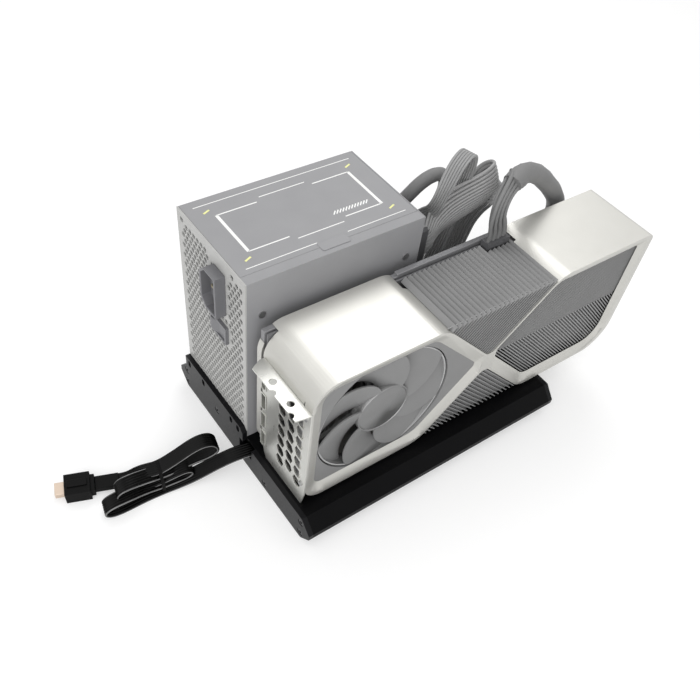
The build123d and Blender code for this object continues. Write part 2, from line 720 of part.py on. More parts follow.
def psu_cover():
    """Folded cover: fan side and the two narrow sides, with a finger tab over the tray's lip."""
    x0, x1 = SHEET + SEAM, PSU_LENGTH - SHEET - SEAM
    cover = block(x0, x1, PSU_WIDTH - SHEET, PSU_WIDTH, 0, PSU_HEIGHT)
    for z0 in (0, PSU_HEIGHT - SHEET):
        cover += block(x0, x1, TRAY_LIP + SEAM, PSU_WIDTH, z0, z0 + SHEET)
    left, right = PSU_LENGTH / 2 - TAB_LENGTH / 2, PSU_LENGTH / 2 + TAB_LENGTH / 2
    root, end = TRAY_LIP + SEAM + TAB_REACH, TRAY_LIP - TAB_REACH
    tab_face = outline([(left, root), (left, end), (right, end), (right, root)], [0, TAB_ROUND, TAB_ROUND, 0])
    cover += extrude(Pos(0, 0, PSU_HEIGHT) * tab_face, amount=SHEET / 2)
    y0, y1 = PSU_WIDTH - SHEET - OVERCUT, PSU_WIDTH + OVERCUT
    return cover - rod_y(y0, y1, PSU_LENGTH / 2, PSU_HEIGHT / 2, PSU_FAN_HOLE_R)


def psu_fan_grille():
    """Wire rings on cross bars over the fan's opening, with four feet on the cover."""
    x, z = PSU_LENGTH / 2, PSU_HEIGHT / 2
    y0, y1 = PSU_WIDTH, PSU_WIDTH + GRILLE_WIRE
    reach = PSU_FAN_HOLE_R + GRILLE_FOOT
    face = None
    for ring in range(GRILLE_RINGS):
        r = PSU_FAN_HUB_R + (PSU_FAN_HOLE_R - PSU_FAN_HUB_R) * ring / (GRILLE_RINGS - 1)
        hoop = disc(x, z, r) - disc(x, z, r - GRILLE_WIRE)
        face = hoop if face is None else face + hoop
    for angle in GRILLE_BAR_ANGLES:
        bar = Pos(x, z) * Rot(0, 0, angle) * Rectangle(2 * reach, GRILLE_WIRE)
        face += bar - disc(x, z, PSU_FAN_HUB_R - GRILLE_WIRE)
    return along_y(face, y0, y1)


def fan_struts(x, z, hole_r):
    """Adds four struts from a fan's opening to its middle, as a face in X and Z."""
    struts = disc(x, z, HUB_BOSS_R)
    for angle in STRUT_ANGLES:
        struts += Pos(x, z) * Rot(0, 0, angle) * Rectangle(2 * hole_r + OVERCUT, STRUT_W)
    return struts


def psu_fan_frame():
    """Square fan housing behind the cover, with struts and a bushed boss on its inner side."""
    x, z = PSU_LENGTH / 2, PSU_HEIGHT / 2
    y1 = PSU_WIDTH - SHEET
    y0 = y1 - PSU_FAN_DEPTH
    half = PSU_FAN_SIZE / 2
    corners = [(x - half, z - half), (x - half, z + half), (x + half, z + half), (x + half, z - half)]
    square = outline(corners, [FAN_CORNER_R] * len(corners))
    frame = along_y(square - disc(x, z, PSU_FAN_HOLE_R), y0, y1)
    frame += along_y(fan_struts(x, z, PSU_FAN_HOLE_R), y0, y0 + STRUT_T)
    frame += rod_y(y0, y0 + SHAFT_LENGTH + BOSS_CAP, x, z, HUB_BOSS_R / 2)
    return frame - rod_y(y0 + BOSS_CAP, y0 + SHAFT_LENGTH + 2 * BOSS_CAP, x, z, SHAFT_R + RUN_FIT)


def fan_rotor(hub_r, tip_r, blades, depth, ring_t):
    """Fan rotor with its front at Z 0 and its shaft pointing down Z, and an outer ring where it has one."""
    hub = Pos(0, 0, -depth / 2) * Cylinder(hub_r, depth)
    rotor = fillet(hub.edges().group_by(Axis.Z)[-1], HUB_ROUND)
    rotor += Pos(0, 0, -depth - SHAFT_LENGTH / 2) * Cylinder(SHAFT_R, SHAFT_LENGTH)
    reach = tip_r - ring_t / 2
    envelope = Pos(0, 0, -depth / 2) * Cylinder(reach, depth)
    drop = depth - 2 * BLADE_INSET - BLADE_SHEET
    stations = [(hub_r - BLADE_ROOT_SINK, 0.0, BLADE_ROOT_SHARE),
                ((hub_r + reach) / 2, BLADE_MID_SWEEP, BLADE_MID_SHARE),
                (reach + OVERCUT, BLADE_TIP_SWEEP, BLADE_TIP_SHARE)]
    for number in range(blades):
        sections = []
        for r, sweep_angle, share in stations:
            chord = share * 2 * math.pi * r / blades
            pitch = math.asin(min(BLADE_STEEPEST, drop / chord))
            angle = math.radians(360 * number / blades + sweep_angle)
            radial = Vector(math.cos(angle), math.sin(angle), 0)
            onward = Vector(-math.sin(angle), math.cos(angle), 0)
            chord_dir = onward * math.cos(pitch) + Vector(0, 0, math.sin(pitch))
            centre = radial * r + Vector(0, 0, -depth / 2)
            station = Plane(origin=centre, x_dir=chord_dir, z_dir=radial)
            sections.append(station * Rectangle(chord, BLADE_SHEET))
        rotor += loft(sections, ruled=True) & envelope
    if ring_t > 0:
        hoop = Circle(tip_r) - Circle(tip_r - ring_t)
        rotor += extrude(Pos(0, 0, -depth + RING_INSET) * hoop, amount=depth - 2 * RING_INSET)
    return rotor


def psu_fan_rotor():
    """Supply's fan rotor, blowing out through the grille's side."""
    y_front = PSU_WIDTH - SHEET - PSU_FAN_DEPTH + SHAFT_LENGTH + BOSS_CAP + SWING_GAP + PSU_ROTOR_DEPTH
    rotor = fan_rotor(PSU_FAN_HUB_R, PSU_FAN_HOLE_R - SWING_GAP, PSU_FAN_BLADES, PSU_ROTOR_DEPTH, 0)
    return Pos(PSU_LENGTH / 2, y_front, PSU_HEIGHT / 2) * Rot(-90, 0, 0) * rotor


def ac_inlet():
    """Mains inlet that stands out of its panel, with a deep mouth."""
    core = inlet_outline(INLET_WALL)
    floor = INLET_IN - INLET_FLOOR
    body = along_x(inlet_outline(0), -INLET_OUT, 0) + along_x(core, 0, INLET_IN)
    mouth = along_x(core, -INLET_OUT - OVERCUT, -SEAT_GAP)
    mouth += along_x(inlet_outline(2 * INLET_WALL), -INLET_OUT, floor)
    for y, z in blade_places():
        mouth += blade_bar(y, z, floor - OVERCUT, floor + BLADE_SEAT)
    return body - mouth


def blade_places():
    """Y and Z of the inlet's three blades, the earth blade set apart."""
    return [(INLET_Y + BLADE_RAISE, INLET_Z), (INLET_Y - BLADE_RAISE, INLET_Z - BLADE_SPREAD),
            (INLET_Y - BLADE_RAISE, INLET_Z + BLADE_SPREAD)]


def blade_bar(y, z, x0, x1):
    """Flat contact blade along X."""
    return block(x0, x1, y - BLADE_W / 2, y + BLADE_W / 2, z - BLADE_T / 2, z + BLADE_T / 2)


def inlet_blades():
    """Three contact blades, seated in the inlet's floor."""
    x0, x1 = -INLET_OUT + BLADE_SETBACK, INLET_IN - INLET_FLOOR + BLADE_SEAT
    return solids([blade_bar(y, z, x0, x1) for y, z in blade_places()])


def switch_frame():
    """Switch housing with a rim on the panel, a mouth for the rocker and two pivot holes."""
    rim = along_x(switch_outline(0), -SWITCH_OUT, 0)
    body = along_x(switch_outline(SWITCH_RIM / 2), 0, SWITCH_IN)
    mouth = along_x(switch_outline(SWITCH_RIM), -SWITCH_OUT - OVERCUT, SWITCH_IN - SWITCH_FLOOR)
    frame = rim + body - mouth
    half = SWITCH_HEIGHT / 2 - SWITCH_RIM
    pivot = Cylinder(ROCKER_PIN_R + RUN_FIT, 2 * (half + ROCKER_PIN_LENGTH))
    return frame - Pos(ROCKER_AXIS_X, SWITCH_Y, SWITCH_Z) * pivot


def switch_rocker():
    """Rocker with two slanting faces and pivot stubs, resting with its near half pressed."""
    half_y = SWITCH_WIDTH / 2 - SWITCH_RIM - ROCKER_GAP
    half_z = SWITCH_HEIGHT / 2 - SWITCH_RIM - SEAT_GAP
    rise = math.tan(math.radians(ROCKER_TILT)) * half_y
    face = outline([(-ROCKER_CROWN, 0), (-ROCKER_CROWN - rise, half_y), (0, half_y), (ROCKER_DEPTH, half_y / 3),
                    (ROCKER_DEPTH, -half_y / 3), (0, -half_y), (-ROCKER_CROWN - rise, -half_y)])
    rocker = extrude(Pos(0, 0, -half_z) * face, amount=2 * half_z)
    stub = half_z + SEAT_GAP + ROCKER_PIN_LENGTH - RUN_FIT
    rocker += Cylinder(ROCKER_PIN_R, 2 * stub)
    return Pos(ROCKER_AXIS_X, SWITCH_Y, SWITCH_Z) * Rot(0, 0, ROCKER_TILT) * rocker


def psu_board():
    """Supply's circuit board on the tray's pillars."""
    edge = PSU_BOARD_EDGE
    return block(edge, PSU_LENGTH - edge, SHEET + PSU_BOARD_RISE, PSU_BOARD_TOP, edge, PSU_HEIGHT - edge)


def psu_transformer():
    """Main transformer: core with a wound waist."""
    length, height, width = TRANSFORMER_SIZE
    top = PSU_BOARD_TOP + height
    z0, z1 = PSU_HEIGHT / 2 - width / 2, PSU_HEIGHT / 2 + width / 2
    core = block(TRANSFORMER_X - length / 2, TRANSFORMER_X + length / 2, PSU_BOARD_TOP, top, z0, z1)
    low, high = PSU_BOARD_TOP + TRANSFORMER_FLANGE, top - TRANSFORMER_FLANGE
    for x in (TRANSFORMER_X - length / 2, TRANSFORMER_X + length / 2):
        core -= block(x - TRANSFORMER_WAIST, x + TRANSFORMER_WAIST, low, high, z0 - OVERCUT, z1 + OVERCUT)
    return core


def psu_capacitors():
    """Large storage capacitors and a row of smaller ones."""
    foot = PSU_BOARD_TOP
    cans = [rod_y(foot, foot + BIG_CAN_HEIGHT, BIG_CAN_X, z, BIG_CAN_R) for z in BIG_CAN_ZS]
    cans += [rod_y(foot, foot + SMALL_CAN_HEIGHT, SMALL_CAN_X, z, SMALL_CAN_R) for z in SMALL_CAN_ZS]
    return solids(cans)


def psu_heat_sinks():
    """Two finned bars that cool the switching parts."""
    sinks = []
    z0, z1 = SINK_MARGIN, PSU_HEIGHT - SINK_MARGIN
    for x, side in SINK_XS:
        back, reach = x - side * SINK_T, x + side * SINK_RIB_REACH
        sink = block(min(x, back), max(x, back), PSU_BOARD_TOP, PSU_BOARD_TOP + SINK_HEIGHT, z0, z1)
        for rise in SINK_RIBS:
            y0 = PSU_BOARD_TOP + rise
            sink += block(min(x, reach), max(x, reach), y0, y0 + SINK_RIB_T, z0, z1)
        sinks.append(sink)
    return solids(sinks)


def lead_block(socket, out0, out1, rim):
    """Box at a lead's place on the lead panel, widened by a rim."""
    y, z, width, height = socket
    return block(PSU_LENGTH + out0, PSU_LENGTH + out1, y - width / 2 - rim, y + width / 2 + rim,
                 z - height / 2 - rim, z + height / 2 + rim)


def lead_sockets():
    """Sockets of the power leads on the supply's lead panel."""
    return solids([lead_block(socket, 0, LEAD_SOCKET_OUT, LEAD_SOCKET_RIM) for socket in LEAD_SOCKETS])


def psu_lead_plugs():
    """Plugs of the power leads in the supply's sockets."""
    return solids([lead_block(socket, LEAD_SOCKET_OUT, LEAD_PLUG_OUT, 0) for socket in LEAD_SOCKETS])


# Graphics card


def card_outline():
    """Front view of the frame: two loops joined at a crossing, in X and Z."""
    half = CARD_HEIGHT / 2
    run = half - CROSS_HALF
    points = [(CARD_LEFT, CARD_BOTTOM), (CARD_LEFT, CARD_TOP), (CROSS_X - run, CARD_TOP),
              (CROSS_X, CROSS_Z + CROSS_HALF), (CROSS_X + run, CARD_TOP), (CARD_RIGHT, CARD_TOP),
              (CARD_RIGHT, CARD_BOTTOM), (CROSS_X + run, CARD_BOTTOM), (CROSS_X, CROSS_Z - CROSS_HALF),
              (CROSS_X - run, CARD_BOTTOM)]
    waist = [SHOULDER_ROUND, CROSS_ROUND, SHOULDER_ROUND]
    return outline(points, [END_ROUND_BOTTOM, END_ROUND_TOP, *waist, FAR_ROUND_TOP, FAR_ROUND_BOTTOM, *waist])


def chamber(side, edge, arm, tip_half, rounding):
    """Opening inside one loop: edge and arm are its insets from the outline, tip_half its blunt tip."""
    z0, z1 = CARD_BOTTOM + edge, CARD_TOP - edge
    reach = CROSS_HALF - arm * ROOT_TWO
    shoulder = reach - (z1 - CROSS_Z)
    tip = reach - tip_half
    if side < 0:
        end, sign = CARD_LEFT + edge, 1
        top_round, bottom_round = END_ROUND_TOP, END_ROUND_BOTTOM
    else:
        end, sign = CARD_RIGHT - max(edge, FAR_WALL), -1
        top_round, bottom_round = FAR_ROUND_TOP, FAR_ROUND_BOTTOM
    shoulder_x, tip_x = CROSS_X + sign * shoulder, CROSS_X + sign * tip
    points = [(end, z0), (end, z1), (shoulder_x, z1), (tip_x, CROSS_Z + tip_half), (tip_x, CROSS_Z - tip_half),
              (shoulder_x, z0)]
    inner = max(edge - CORNER_EASE, CORNER_EASE / 2)
    shoulder_round = SHOULDER_ROUND - inner
    ends = [max(bottom_round - inner, TIP_ROUND), max(top_round - inner, TIP_ROUND)]
    return outline(points, [*ends, shoulder_round, rounding, rounding, shoulder_round])


def strap_cavity(side):
    """Deep opening of one loop, behind the bevelled lip."""
    return chamber(side, FRAME_WALL, ARM_WALL, TIP_HALF, TIP_ROUND)


def bevelled_mouth(side):
    """Opening in the front lip, wide at the front and narrow behind."""
    front = chamber(side, RIDGE, RIDGE, MOUTH_TIP_HALF, MOUTH_TIP_ROUND)
    back = chamber(side, BEVEL_WIDTH, BEVEL_WIDTH, TIP_HALF, MOUTH_TIP_ROUND)
    faces = [Pos(0, CARD_FRONT, 0) * (Plane.XZ * front), Pos(0, LIP_BACK, 0) * (Plane.XZ * back)]
    return loft(faces, ruled=True)


def card_frame():
    """One-piece metal frame: two broad straps crossing at the front, with bevelled openings."""
    whole = card_outline()
    lip = along_y(whole, CARD_FRONT, LIP_BACK) - bevelled_mouth(-1) - bevelled_mouth(1)
    strap = along_y(whole - strap_cavity(-1) - strap_cavity(1), LIP_BACK, ARM_BACK)
    hollow = rectangle(CARD_LEFT + FRAME_WALL, CARD_RIGHT - FAR_WALL, CARD_BOTTOM + FRAME_WALL,
                       CARD_TOP - FRAME_WALL)
    rear = along_y(whole - hollow, ARM_BACK, CARD_BACK)
    frame = lip + strap + rear
    near, far = BRACKET_NEAR + WINDOW_NEAR, BRACKET_FAR + WINDOW_FAR
    low, high = CARD_BOTTOM + WINDOW_EDGE, CARD_TOP - WINDOW_EDGE
    window = outline([(near, low), (near, high - WINDOW_EDGE), (far - WINDOW_CUT, high), (far, high), (far, low)])
    frame -= along_x(window, CARD_LEFT - OVERCUT, CARD_LEFT + FRAME_WALL + OVERCUT)
    room = 2 * TAB_ROOM
    frame -= post(TAB_X + TAB_WIDTH / 2, CARD_BOARD_MID, TAB_WIDTH + room, CARD_BOARD_T + room,
                  CARD_BOTTOM - OVERCUT, CARD_BOTTOM + FRAME_WALL + OVERCUT)
    dish_r = (CARD_THICK / 2) ** 2 / (2 * FAR_DISH) + FAR_DISH / 2
    dish = Cylinder(dish_r, 2 * CARD_HEIGHT)
    return frame - Pos(CARD_RIGHT - FAR_DISH + dish_r, (CARD_FRONT + CARD_BACK) / 2, CROSS_Z) * dish


def back_plate():
    """Flat cover on the card's back, with the rear fan's opening and edges up to the fin tops."""
    wall = FRAME_WALL + SEAT_GAP
    inside = rectangle(CARD_LEFT + wall, CARD_RIGHT - FAR_WALL - SEAT_GAP, CARD_BOTTOM + wall, CARD_TOP - wall)
    run = CARD_HEIGHT / 2 - CROSS_HALF - BACK_PLATE_EAR
    ears = rectangle(CROSS_X - run, CROSS_X + run, CARD_BOTTOM + BACK_PLATE_DROP, CARD_TOP - BACK_PLATE_DROP)
    face = inside + ears - (card_outline() - inside)
    face -= disc(REAR_FAN_X, CROSS_Z, FAN_HOLE_R + BACK_HOLE_MARGIN)
    return along_y(face, BACK_PLATE_FRONT, CARD_BACK)


def vent_cells():
    """Slanted hexagon cut-outs in the bracket, beside the ports."""
    cell = outline(CELL_OUTLINE)
    cells = []
    for column in range(CELL_COLUMNS):
        y = BRACKET_NEAR + CELL_FIRST_Y + column * CELL_STEP_Y
        for row in range(CELL_ROWS):
            z = BRACKET_FOOT + CELL_FIRST_Z + (row + (column % 2) / 2) * CELL_STEP_Z
            cells.append(Pos(y, z) * cell)
    return cells


def port_places():
    """Z of the ports' middles."""
    return [BRACKET_FOOT + PORT_FIRST_Z + number * PORT_PITCH for number in range(PORTS)]


def port_outline(z, margin):
    """Port's outline in Y and Z: upright, with one lower corner cut off."""
    w, h = PORT_WIDTH / 2 + margin, PORT_LENGTH / 2 + margin
    return outline([(PORT_Y - w, z - h + PORT_CUT), (PORT_Y - w, z + h), (PORT_Y + w, z + h), (PORT_Y + w, z - h),
                    (PORT_Y - w + PORT_CUT, z - h)])


def slot_bracket():
    """Folded steel bracket: vented face, top flange with screw holes and notches, tapered foot."""
    x0, x1 = BRACKET_X, BRACKET_X + BRACKET_T
    near, far = BRACKET_NEAR, BRACKET_FAR
    foot, tip = BRACKET_FOOT, BRACKET_FOOT + BRACKET_TIP
    face = outline([(near + BRACKET_TAPER_NEAR, foot), (near, tip), (near, BRACKET_TOP), (far, BRACKET_TOP),
                    (far, tip), (far - BRACKET_TAPER_FAR, foot)])
    cuts = vent_cells() + [port_outline(z, SEAT_GAP) for z in port_places()]
    bracket = along_x(face - cuts, x0, x1)
    edge = x1 - BRACKET_FLANGE
    flange = outline([(x1, near), (edge, near + FLANGE_CUT_NEAR), (edge, far - FLANGE_CUT_FAR),
                      (x1 - FLANGE_CUT_FAR, far), (x1, far)])
    for slot in range(2):
        y = far - BRACKET_FIRST_HOLE - slot * SLOT_PITCH
        flange -= disc(x1 - BRACKET_HOLE_SETBACK, y, BRACKET_HOLE_R)
        flange -= disc(edge, y - BRACKET_NOTCH_STEP, BRACKET_HOLE_R)
    return bracket + extrude(Pos(0, 0, BRACKET_TOP - BRACKET_T) * flange, amount=BRACKET_T)


def bracket_screw_places():
    """Y and Z of the screws that hold the bracket to the frame."""
    y = BRACKET_NEAR + BRACKET_SCREW_INSET
    return [(y, BRACKET_TOP - BRACKET_SCREW_DROP), (y, BRACKET_FOOT + BRACKET_SCREW_RISE)]


def bracket_screws():
    """Heads of the small screws on the bracket's face."""
    return solids([rod_x(BRACKET_X - BRACKET_SCREW_HEAD, BRACKET_X, y, z, BRACKET_SCREW_R)
                   for y, z in bracket_screw_places()])


def ports():
    """Metal port shells on the card's board, seated in the bracket."""
    shells = []
    mouth_end = BRACKET_X + PORT_MOUTH
    back = CARD_LEFT + PORT_IN
    for z in port_places():
        shell = along_x(port_outline(z, 0), BRACKET_X - PORT_OUT, back)
        shell -= along_x(port_outline(z, -PORT_WALL), BRACKET_X - PORT_OUT - OVERCUT, mouth_end)
        shell += block(mouth_end, back, PORT_Y + PORT_WIDTH / 2, CARD_BOARD_FRONT, z - PORT_STEM_HALF,
                       z + PORT_STEM_HALF)
        shells.append(shell)
    return solids(shells)


def card_board():
    """Card's circuit board with a notched right end and the edge that sits in the slot."""
    room = FRAME_WALL + CARD_BOARD_ROOM
    z0, z1 = CARD_BOTTOM + room, CARD_TOP - room
    left = CARD_LEFT + room
    apex = CROSS_X + CARD_BOARD_NOTCH
    end = apex + CROSS_Z - z0 - CARD_BOARD_EASE
    face = outline([(left, z0), (end, z0), (apex, CROSS_Z), (end, z1), (left, z1)])
    face += rectangle(TAB_X, TAB_X + TAB_WIDTH, TAB_BOTTOM, z0 + OVERCUT)
    return along_y(face, CARD_BOARD_FRONT, CARD_BOARD_BACK)


def graphics_chip():
    """Processor package on the board."""
    return block(FAN_X - CHIP_SIZE / 2, FAN_X + CHIP_SIZE / 2, CARD_BOARD_FRONT - CHIP_T, CARD_BOARD_FRONT,
                 CROSS_Z - CHIP_SIZE / 2, CROSS_Z + CHIP_SIZE / 2)


def cold_plate():
    """Copper plate over the processor."""
    half = COLD_PLATE_SIZE / 2
    return block(FAN_X - half, FAN_X + half, COLD_PLATE_BACK - COLD_PLATE_T, COLD_PLATE_BACK, CROSS_Z - half,
                 CROSS_Z + half)


def inner_fins():
    """Upright fins on the cold plate, behind the front fan."""
    back = COLD_PLATE_BACK - COLD_PLATE_T
    half = COLD_PLATE_SIZE / 2 + INNER_FIN_OVERHANG
    count = int((COLD_PLATE_SIZE - FIN_T) / INNER_FIN_PITCH) + 1
    first = FAN_X - INNER_FIN_PITCH * (count - 1) / 2
    return solids([block(first + k * INNER_FIN_PITCH - FIN_T / 2, first + k * INNER_FIN_PITCH + FIN_T / 2,
                         back - INNER_FIN_DEPTH, back, CROSS_Z - half, CROSS_Z + half)
                   for k in range(count)])


def arm_fins(side):
    """Slanting fins between the arms above (1) or below (-1) the crossing, parallel to the right arm."""
    half = CARD_HEIGHT / 2
    run = half - CROSS_HALF
    edge = CROSS_Z + side * (half - FIN_DROP)
    low, high = min(CROSS_Z, edge), max(CROSS_Z, edge)
    zone = rectangle(CROSS_X - run, CROSS_X + run, low, high) - card_outline()
    count = int(run * ROOT_TWO / FIN_PITCH)
    fins = []
    for k in range(count):
        step = (k + 0.5) * FIN_PITCH / ROOT_TWO
        foot = Pos(CROSS_X - step, CROSS_Z + side * (CROSS_HALF + step))
        stripe = foot * Rot(0, 0, 45 * side) * Rectangle(4 * CARD_HEIGHT, FIN_T)
        for piece in (stripe & zone).faces():
            if piece.area > SHORTEST_FIN * FIN_T:
                fins.append(along_y(piece, CARD_FRONT + FIN_SETBACK, ARM_BACK))
    return solids(fins)


def right_fins():
    """Two stacks of slanting fins behind the right opening, which meet on its middle line as arrows."""
    zone = strap_cavity(1)
    half = CARD_HEIGHT / 2
    skew = FIN_T * ROOT_TWO
    fins = []
    apex = CROSS_X + ARM_WALL * ROOT_TWO - CROSS_HALF + FIN_PITCH
    while apex < CARD_RIGHT - FAR_WALL - FIN_PITCH:
        for side in (1, -1):
            end = CROSS_Z + side * half
            fin = outline([(apex, CROSS_Z), (apex + half, end), (apex + half + skew, end), (apex + skew, CROSS_Z)])
            for piece in (fin & zone).faces():
                fins.append(along_y(piece, LIP_BACK + FIN_SETBACK, RIGHT_FIN_BACK))
        apex += FIN_PITCH * ROOT_TWO
    return solids(fins)


def card_fan_frame(side):
    """Fan tunnel that fills one loop of the frame, with struts and a bushed boss."""
    if side < 0:
        x, y0 = FAN_X, LIP_BACK
        y1 = y0 + FAN_DEPTH
        strut_y0, strut_y1 = y1 - STRUT_T, y1
        boss_y0, boss_y1 = strut_y0, strut_y0 + SHAFT_LENGTH + BOSS_CAP
        hole_y0, hole_y1 = boss_y0 - OVERCUT, boss_y1 - BOSS_CAP
    else:
        x, y1 = REAR_FAN_X, BACK_PLATE_FRONT
        y0 = y1 - FAN_DEPTH
        strut_y0, strut_y1 = y0, y0 + STRUT_T
        boss_y0, boss_y1 = strut_y1 - SHAFT_LENGTH - BOSS_CAP, strut_y1
        hole_y0, hole_y1 = boss_y0 + BOSS_CAP, boss_y1 + OVERCUT
    zone = chamber(side, FRAME_WALL + SEAT_GAP, ARM_WALL + SEAT_GAP, TIP_HALF, TIP_ROUND)
    frame = along_y(zone - disc(x, CROSS_Z, FAN_HOLE_R), y0, y1)
    frame += along_y(fan_struts(x, CROSS_Z, FAN_HOLE_R), strut_y0, strut_y1)
    frame += rod_y(boss_y0, boss_y1, x, CROSS_Z, HUB_BOSS_R / 2)
    return frame - rod_y(hole_y0, hole_y1, x, CROSS_Z, SHAFT_R + RUN_FIT)


def front_fan_rotor():
    """Card's front rotor with a ring round its blades."""
    rotor = fan_rotor(FAN_HUB_R, FAN_RING_R, FAN_BLADES, ROTOR_DEPTH, FAN_RING_T)
    return Pos(FAN_X, LIP_BACK + ROTOR_INSET, CROSS_Z) * Rot(90, 0, 0) * rotor


def rear_fan_rotor():
    """Card's rear rotor, facing the supply."""
    rotor = fan_rotor(FAN_HUB_R, FAN_RING_R, FAN_BLADES, ROTOR_DEPTH, FAN_RING_T)
    return Pos(REAR_FAN_X, BACK_PLATE_FRONT - ROTOR_INSET, CROSS_Z) * Rot(-90, 0, 0) * rotor


def power_socket():
    """Card's power socket on its board, its mouth level with the fin tops."""
    length, width, height = POWER_SOCKET
    top = CARD_TOP - FIN_DROP
    return post(POWER_SOCKET_X, CARD_BOARD_FRONT - width / 2, length, width, top - height, top)


def card_lead_plug():
    """Plug of the card's lead, standing on its socket."""
    length, width = POWER_SOCKET[:2]
    bottom = CARD_TOP - FIN_DROP
    mid = CARD_BOARD_FRONT - width / 2
    room = 2 * CARD_PLUG_MARGIN
    plug = post(POWER_SOCKET_X, mid, length + room, width + room, bottom, CARD_ROUTE[-1][2])
    clip_width, clip_t, clip_height = CARD_PLUG_CLIP
    clip_y = mid - width / 2 - CARD_PLUG_MARGIN - clip_t / 2
    return plug + post(POWER_SOCKET_X, clip_y, clip_width, clip_t, bottom + OVERCUT, bottom + OVERCUT + clip_height)


# Uplink cable


def skewed_plane(origin, angle):
    """Upright plane through a floor point, turned by the angle from the dock's left towards the supply."""
    c, s = math.cos(math.radians(angle)), math.sin(math.radians(angle))
    return Plane(origin=origin, x_dir=(-c, s, 0), z_dir=(s, c, 0))


HANK_PLANE = skewed_plane((-PLATE_T, CABLE_Y, FLOOR), CABLE_SKEW)


def hank_point(point):
    """Point of the hank's plane in the working frame."""
    spot = HANK_PLANE.from_local_coords(Vector(point[0], point[1], 0))
    return (spot.X, spot.Y, spot.Z)


def tail_point(point):
    """Point of the plug's plane in the working frame."""
    spot = TAIL_PLANE.from_local_coords(Vector(point[0], point[1], 0))
    return (spot.X, spot.Y, spot.Z)


TIE_FOOT = hank_point((TIE_AT, 0.0))
TAIL_PLANE = skewed_plane(Vector(*TIE_FOOT) + HANK_PLANE.z_dir * TAIL_SHIFT, TAIL_SKEW)


def uplink_run():
    """Flat cable from the header, through the plate's notch and down to the hank."""
    points = [hank_point(point) for point in CABLE_ROUTE]
    return cord("uplink_run", points, (HANK_PLANE.z_dir, Rectangle(CABLE_WIDTH, CABLE_T)))


def tie_block(margin):
    """Upright box round the hank's waist, wide enough for every fold."""
    shifts = [loop[3] for loop in HANK_LOOPS]
    width = max(shifts) - min(shifts) + CABLE_WIDTH
    middle = Vector(*hank_point((TIE_AT, TIE_HEIGHT))) + HANK_PLANE.z_dir * (max(shifts) + min(shifts)) / 2
    plane = Plane(origin=middle, x_dir=HANK_PLANE.z_dir, z_dir=HANK_PLANE.x_dir)
    face = plane * Rectangle(width + 2 * margin, 2 * (TIE_R + margin))
    return extrude(face, amount=TIE_WIDTH / 2, both=True)


def uplink_hank():
    """Outer shape of the tied hank: folds that fan out from the tie, waisted where it grips them."""
    waist = disc(0, TIE_HEIGHT, TIE_R)
    hank = None
    for reach, height, r, shift, fan in HANK_LOOPS:
        origin = Vector(*TIE_FOOT) + HANK_PLANE.z_dir * shift
        fold_plane = skewed_plane(origin, CABLE_SKEW + fan)
        face = make_hull(waist.edges() + disc(reach, height, r).edges())
        fold = extrude(fold_plane * face, amount=CABLE_WIDTH / 2, both=True)
        hank = fold if hank is None else hank + fold
    groove = tie_block(TIE_R + CABLE_WIDTH) - tie_block(0)
    return hank - groove


def uplink_tail():
    """Last stretch of the flat cable, from the tie to the plug's neck."""
    points = [tail_point(point) for point in TAIL_ROUTE]
    return cord("uplink_tail", points, (TAIL_PLANE.z_dir, Rectangle(CABLE_WIDTH, CABLE_T)))


def uplink_tie():
    """Twist tie round the hank's waist."""
    return tie_block(RUN_FIT + TIE_BAND) - tie_block(RUN_FIT)


def tail_block(s0, s1, h0, h1, width):
    """Box along the plug's plane, centred across it."""
    face = rectangle(s0, s1, h0, h1)
    return extrude(TAIL_PLANE * face, amount=width / 2, both=True)


def uplink_neck():
    """Shrink sleeve that leads the cable into its plug."""
    return tail_block(NECK_START, PLUG_START, PLUG_MID - NECK_T / 2, PLUG_MID + NECK_T / 2, NECK_WIDTH)


def plug_housing():
    """Moulded plug with a narrower back and a stepped front."""
    low, high = PLUG_MID - PLUG_T / 2, PLUG_MID + PLUG_T / 2
    body = tail_block(PLUG_START, PLUG_END, low, high, PLUG_WIDTH)
    shoulder = PLUG_START + PLUG_STEP
    step = tail_block(PLUG_START - OVERCUT, shoulder, low - OVERCUT, high + OVERCUT, PLUG_WIDTH + 2 * OVERCUT)
    back = tail_block(PLUG_START, shoulder, low + PLUG_BACK_INSET, high - PLUG_BACK_INSET,
                      PLUG_WIDTH - 2 * PLUG_BACK_INSET)
    return body - step + back


def plug_latch():
    """Release bar lying on the plug."""
    top = PLUG_MID + PLUG_T / 2
    start = PLUG_START + PLUG_STEP + LATCH_INSET
    return tail_block(start, PLUG_END - LATCH_INSET, top, top + LATCH_T, PLUG_WIDTH / 3)


def plug_nose():
    """Hollow metal nose with a contact tongue."""
    low, high = PLUG_MID - NOSE_T / 2, PLUG_MID + NOSE_T / 2
    shell = tail_block(PLUG_END, PLUG_END + NOSE_LENGTH, low, high, NOSE_WIDTH)
    nose_end = PLUG_END + NOSE_LENGTH
    mouth = tail_block(PLUG_END + OVERCUT, nose_end + OVERCUT, low + NOSE_WALL, high - NOSE_WALL,
                       NOSE_WIDTH - 2 * NOSE_WALL)
    tongue = tail_block(PLUG_END + OVERCUT / 2, nose_end - TONGUE_SETBACK, PLUG_MID - TONGUE_T / 2,
                        PLUG_MID + TONGUE_T / 2, NOSE_WIDTH - 4 * NOSE_WALL)
    return shell - mouth + tongue


def power_lead(name, route, r):
    """Round lead through the air between its plugs."""
    return cord(name, route, ((0, 1, 0), Circle(r)))


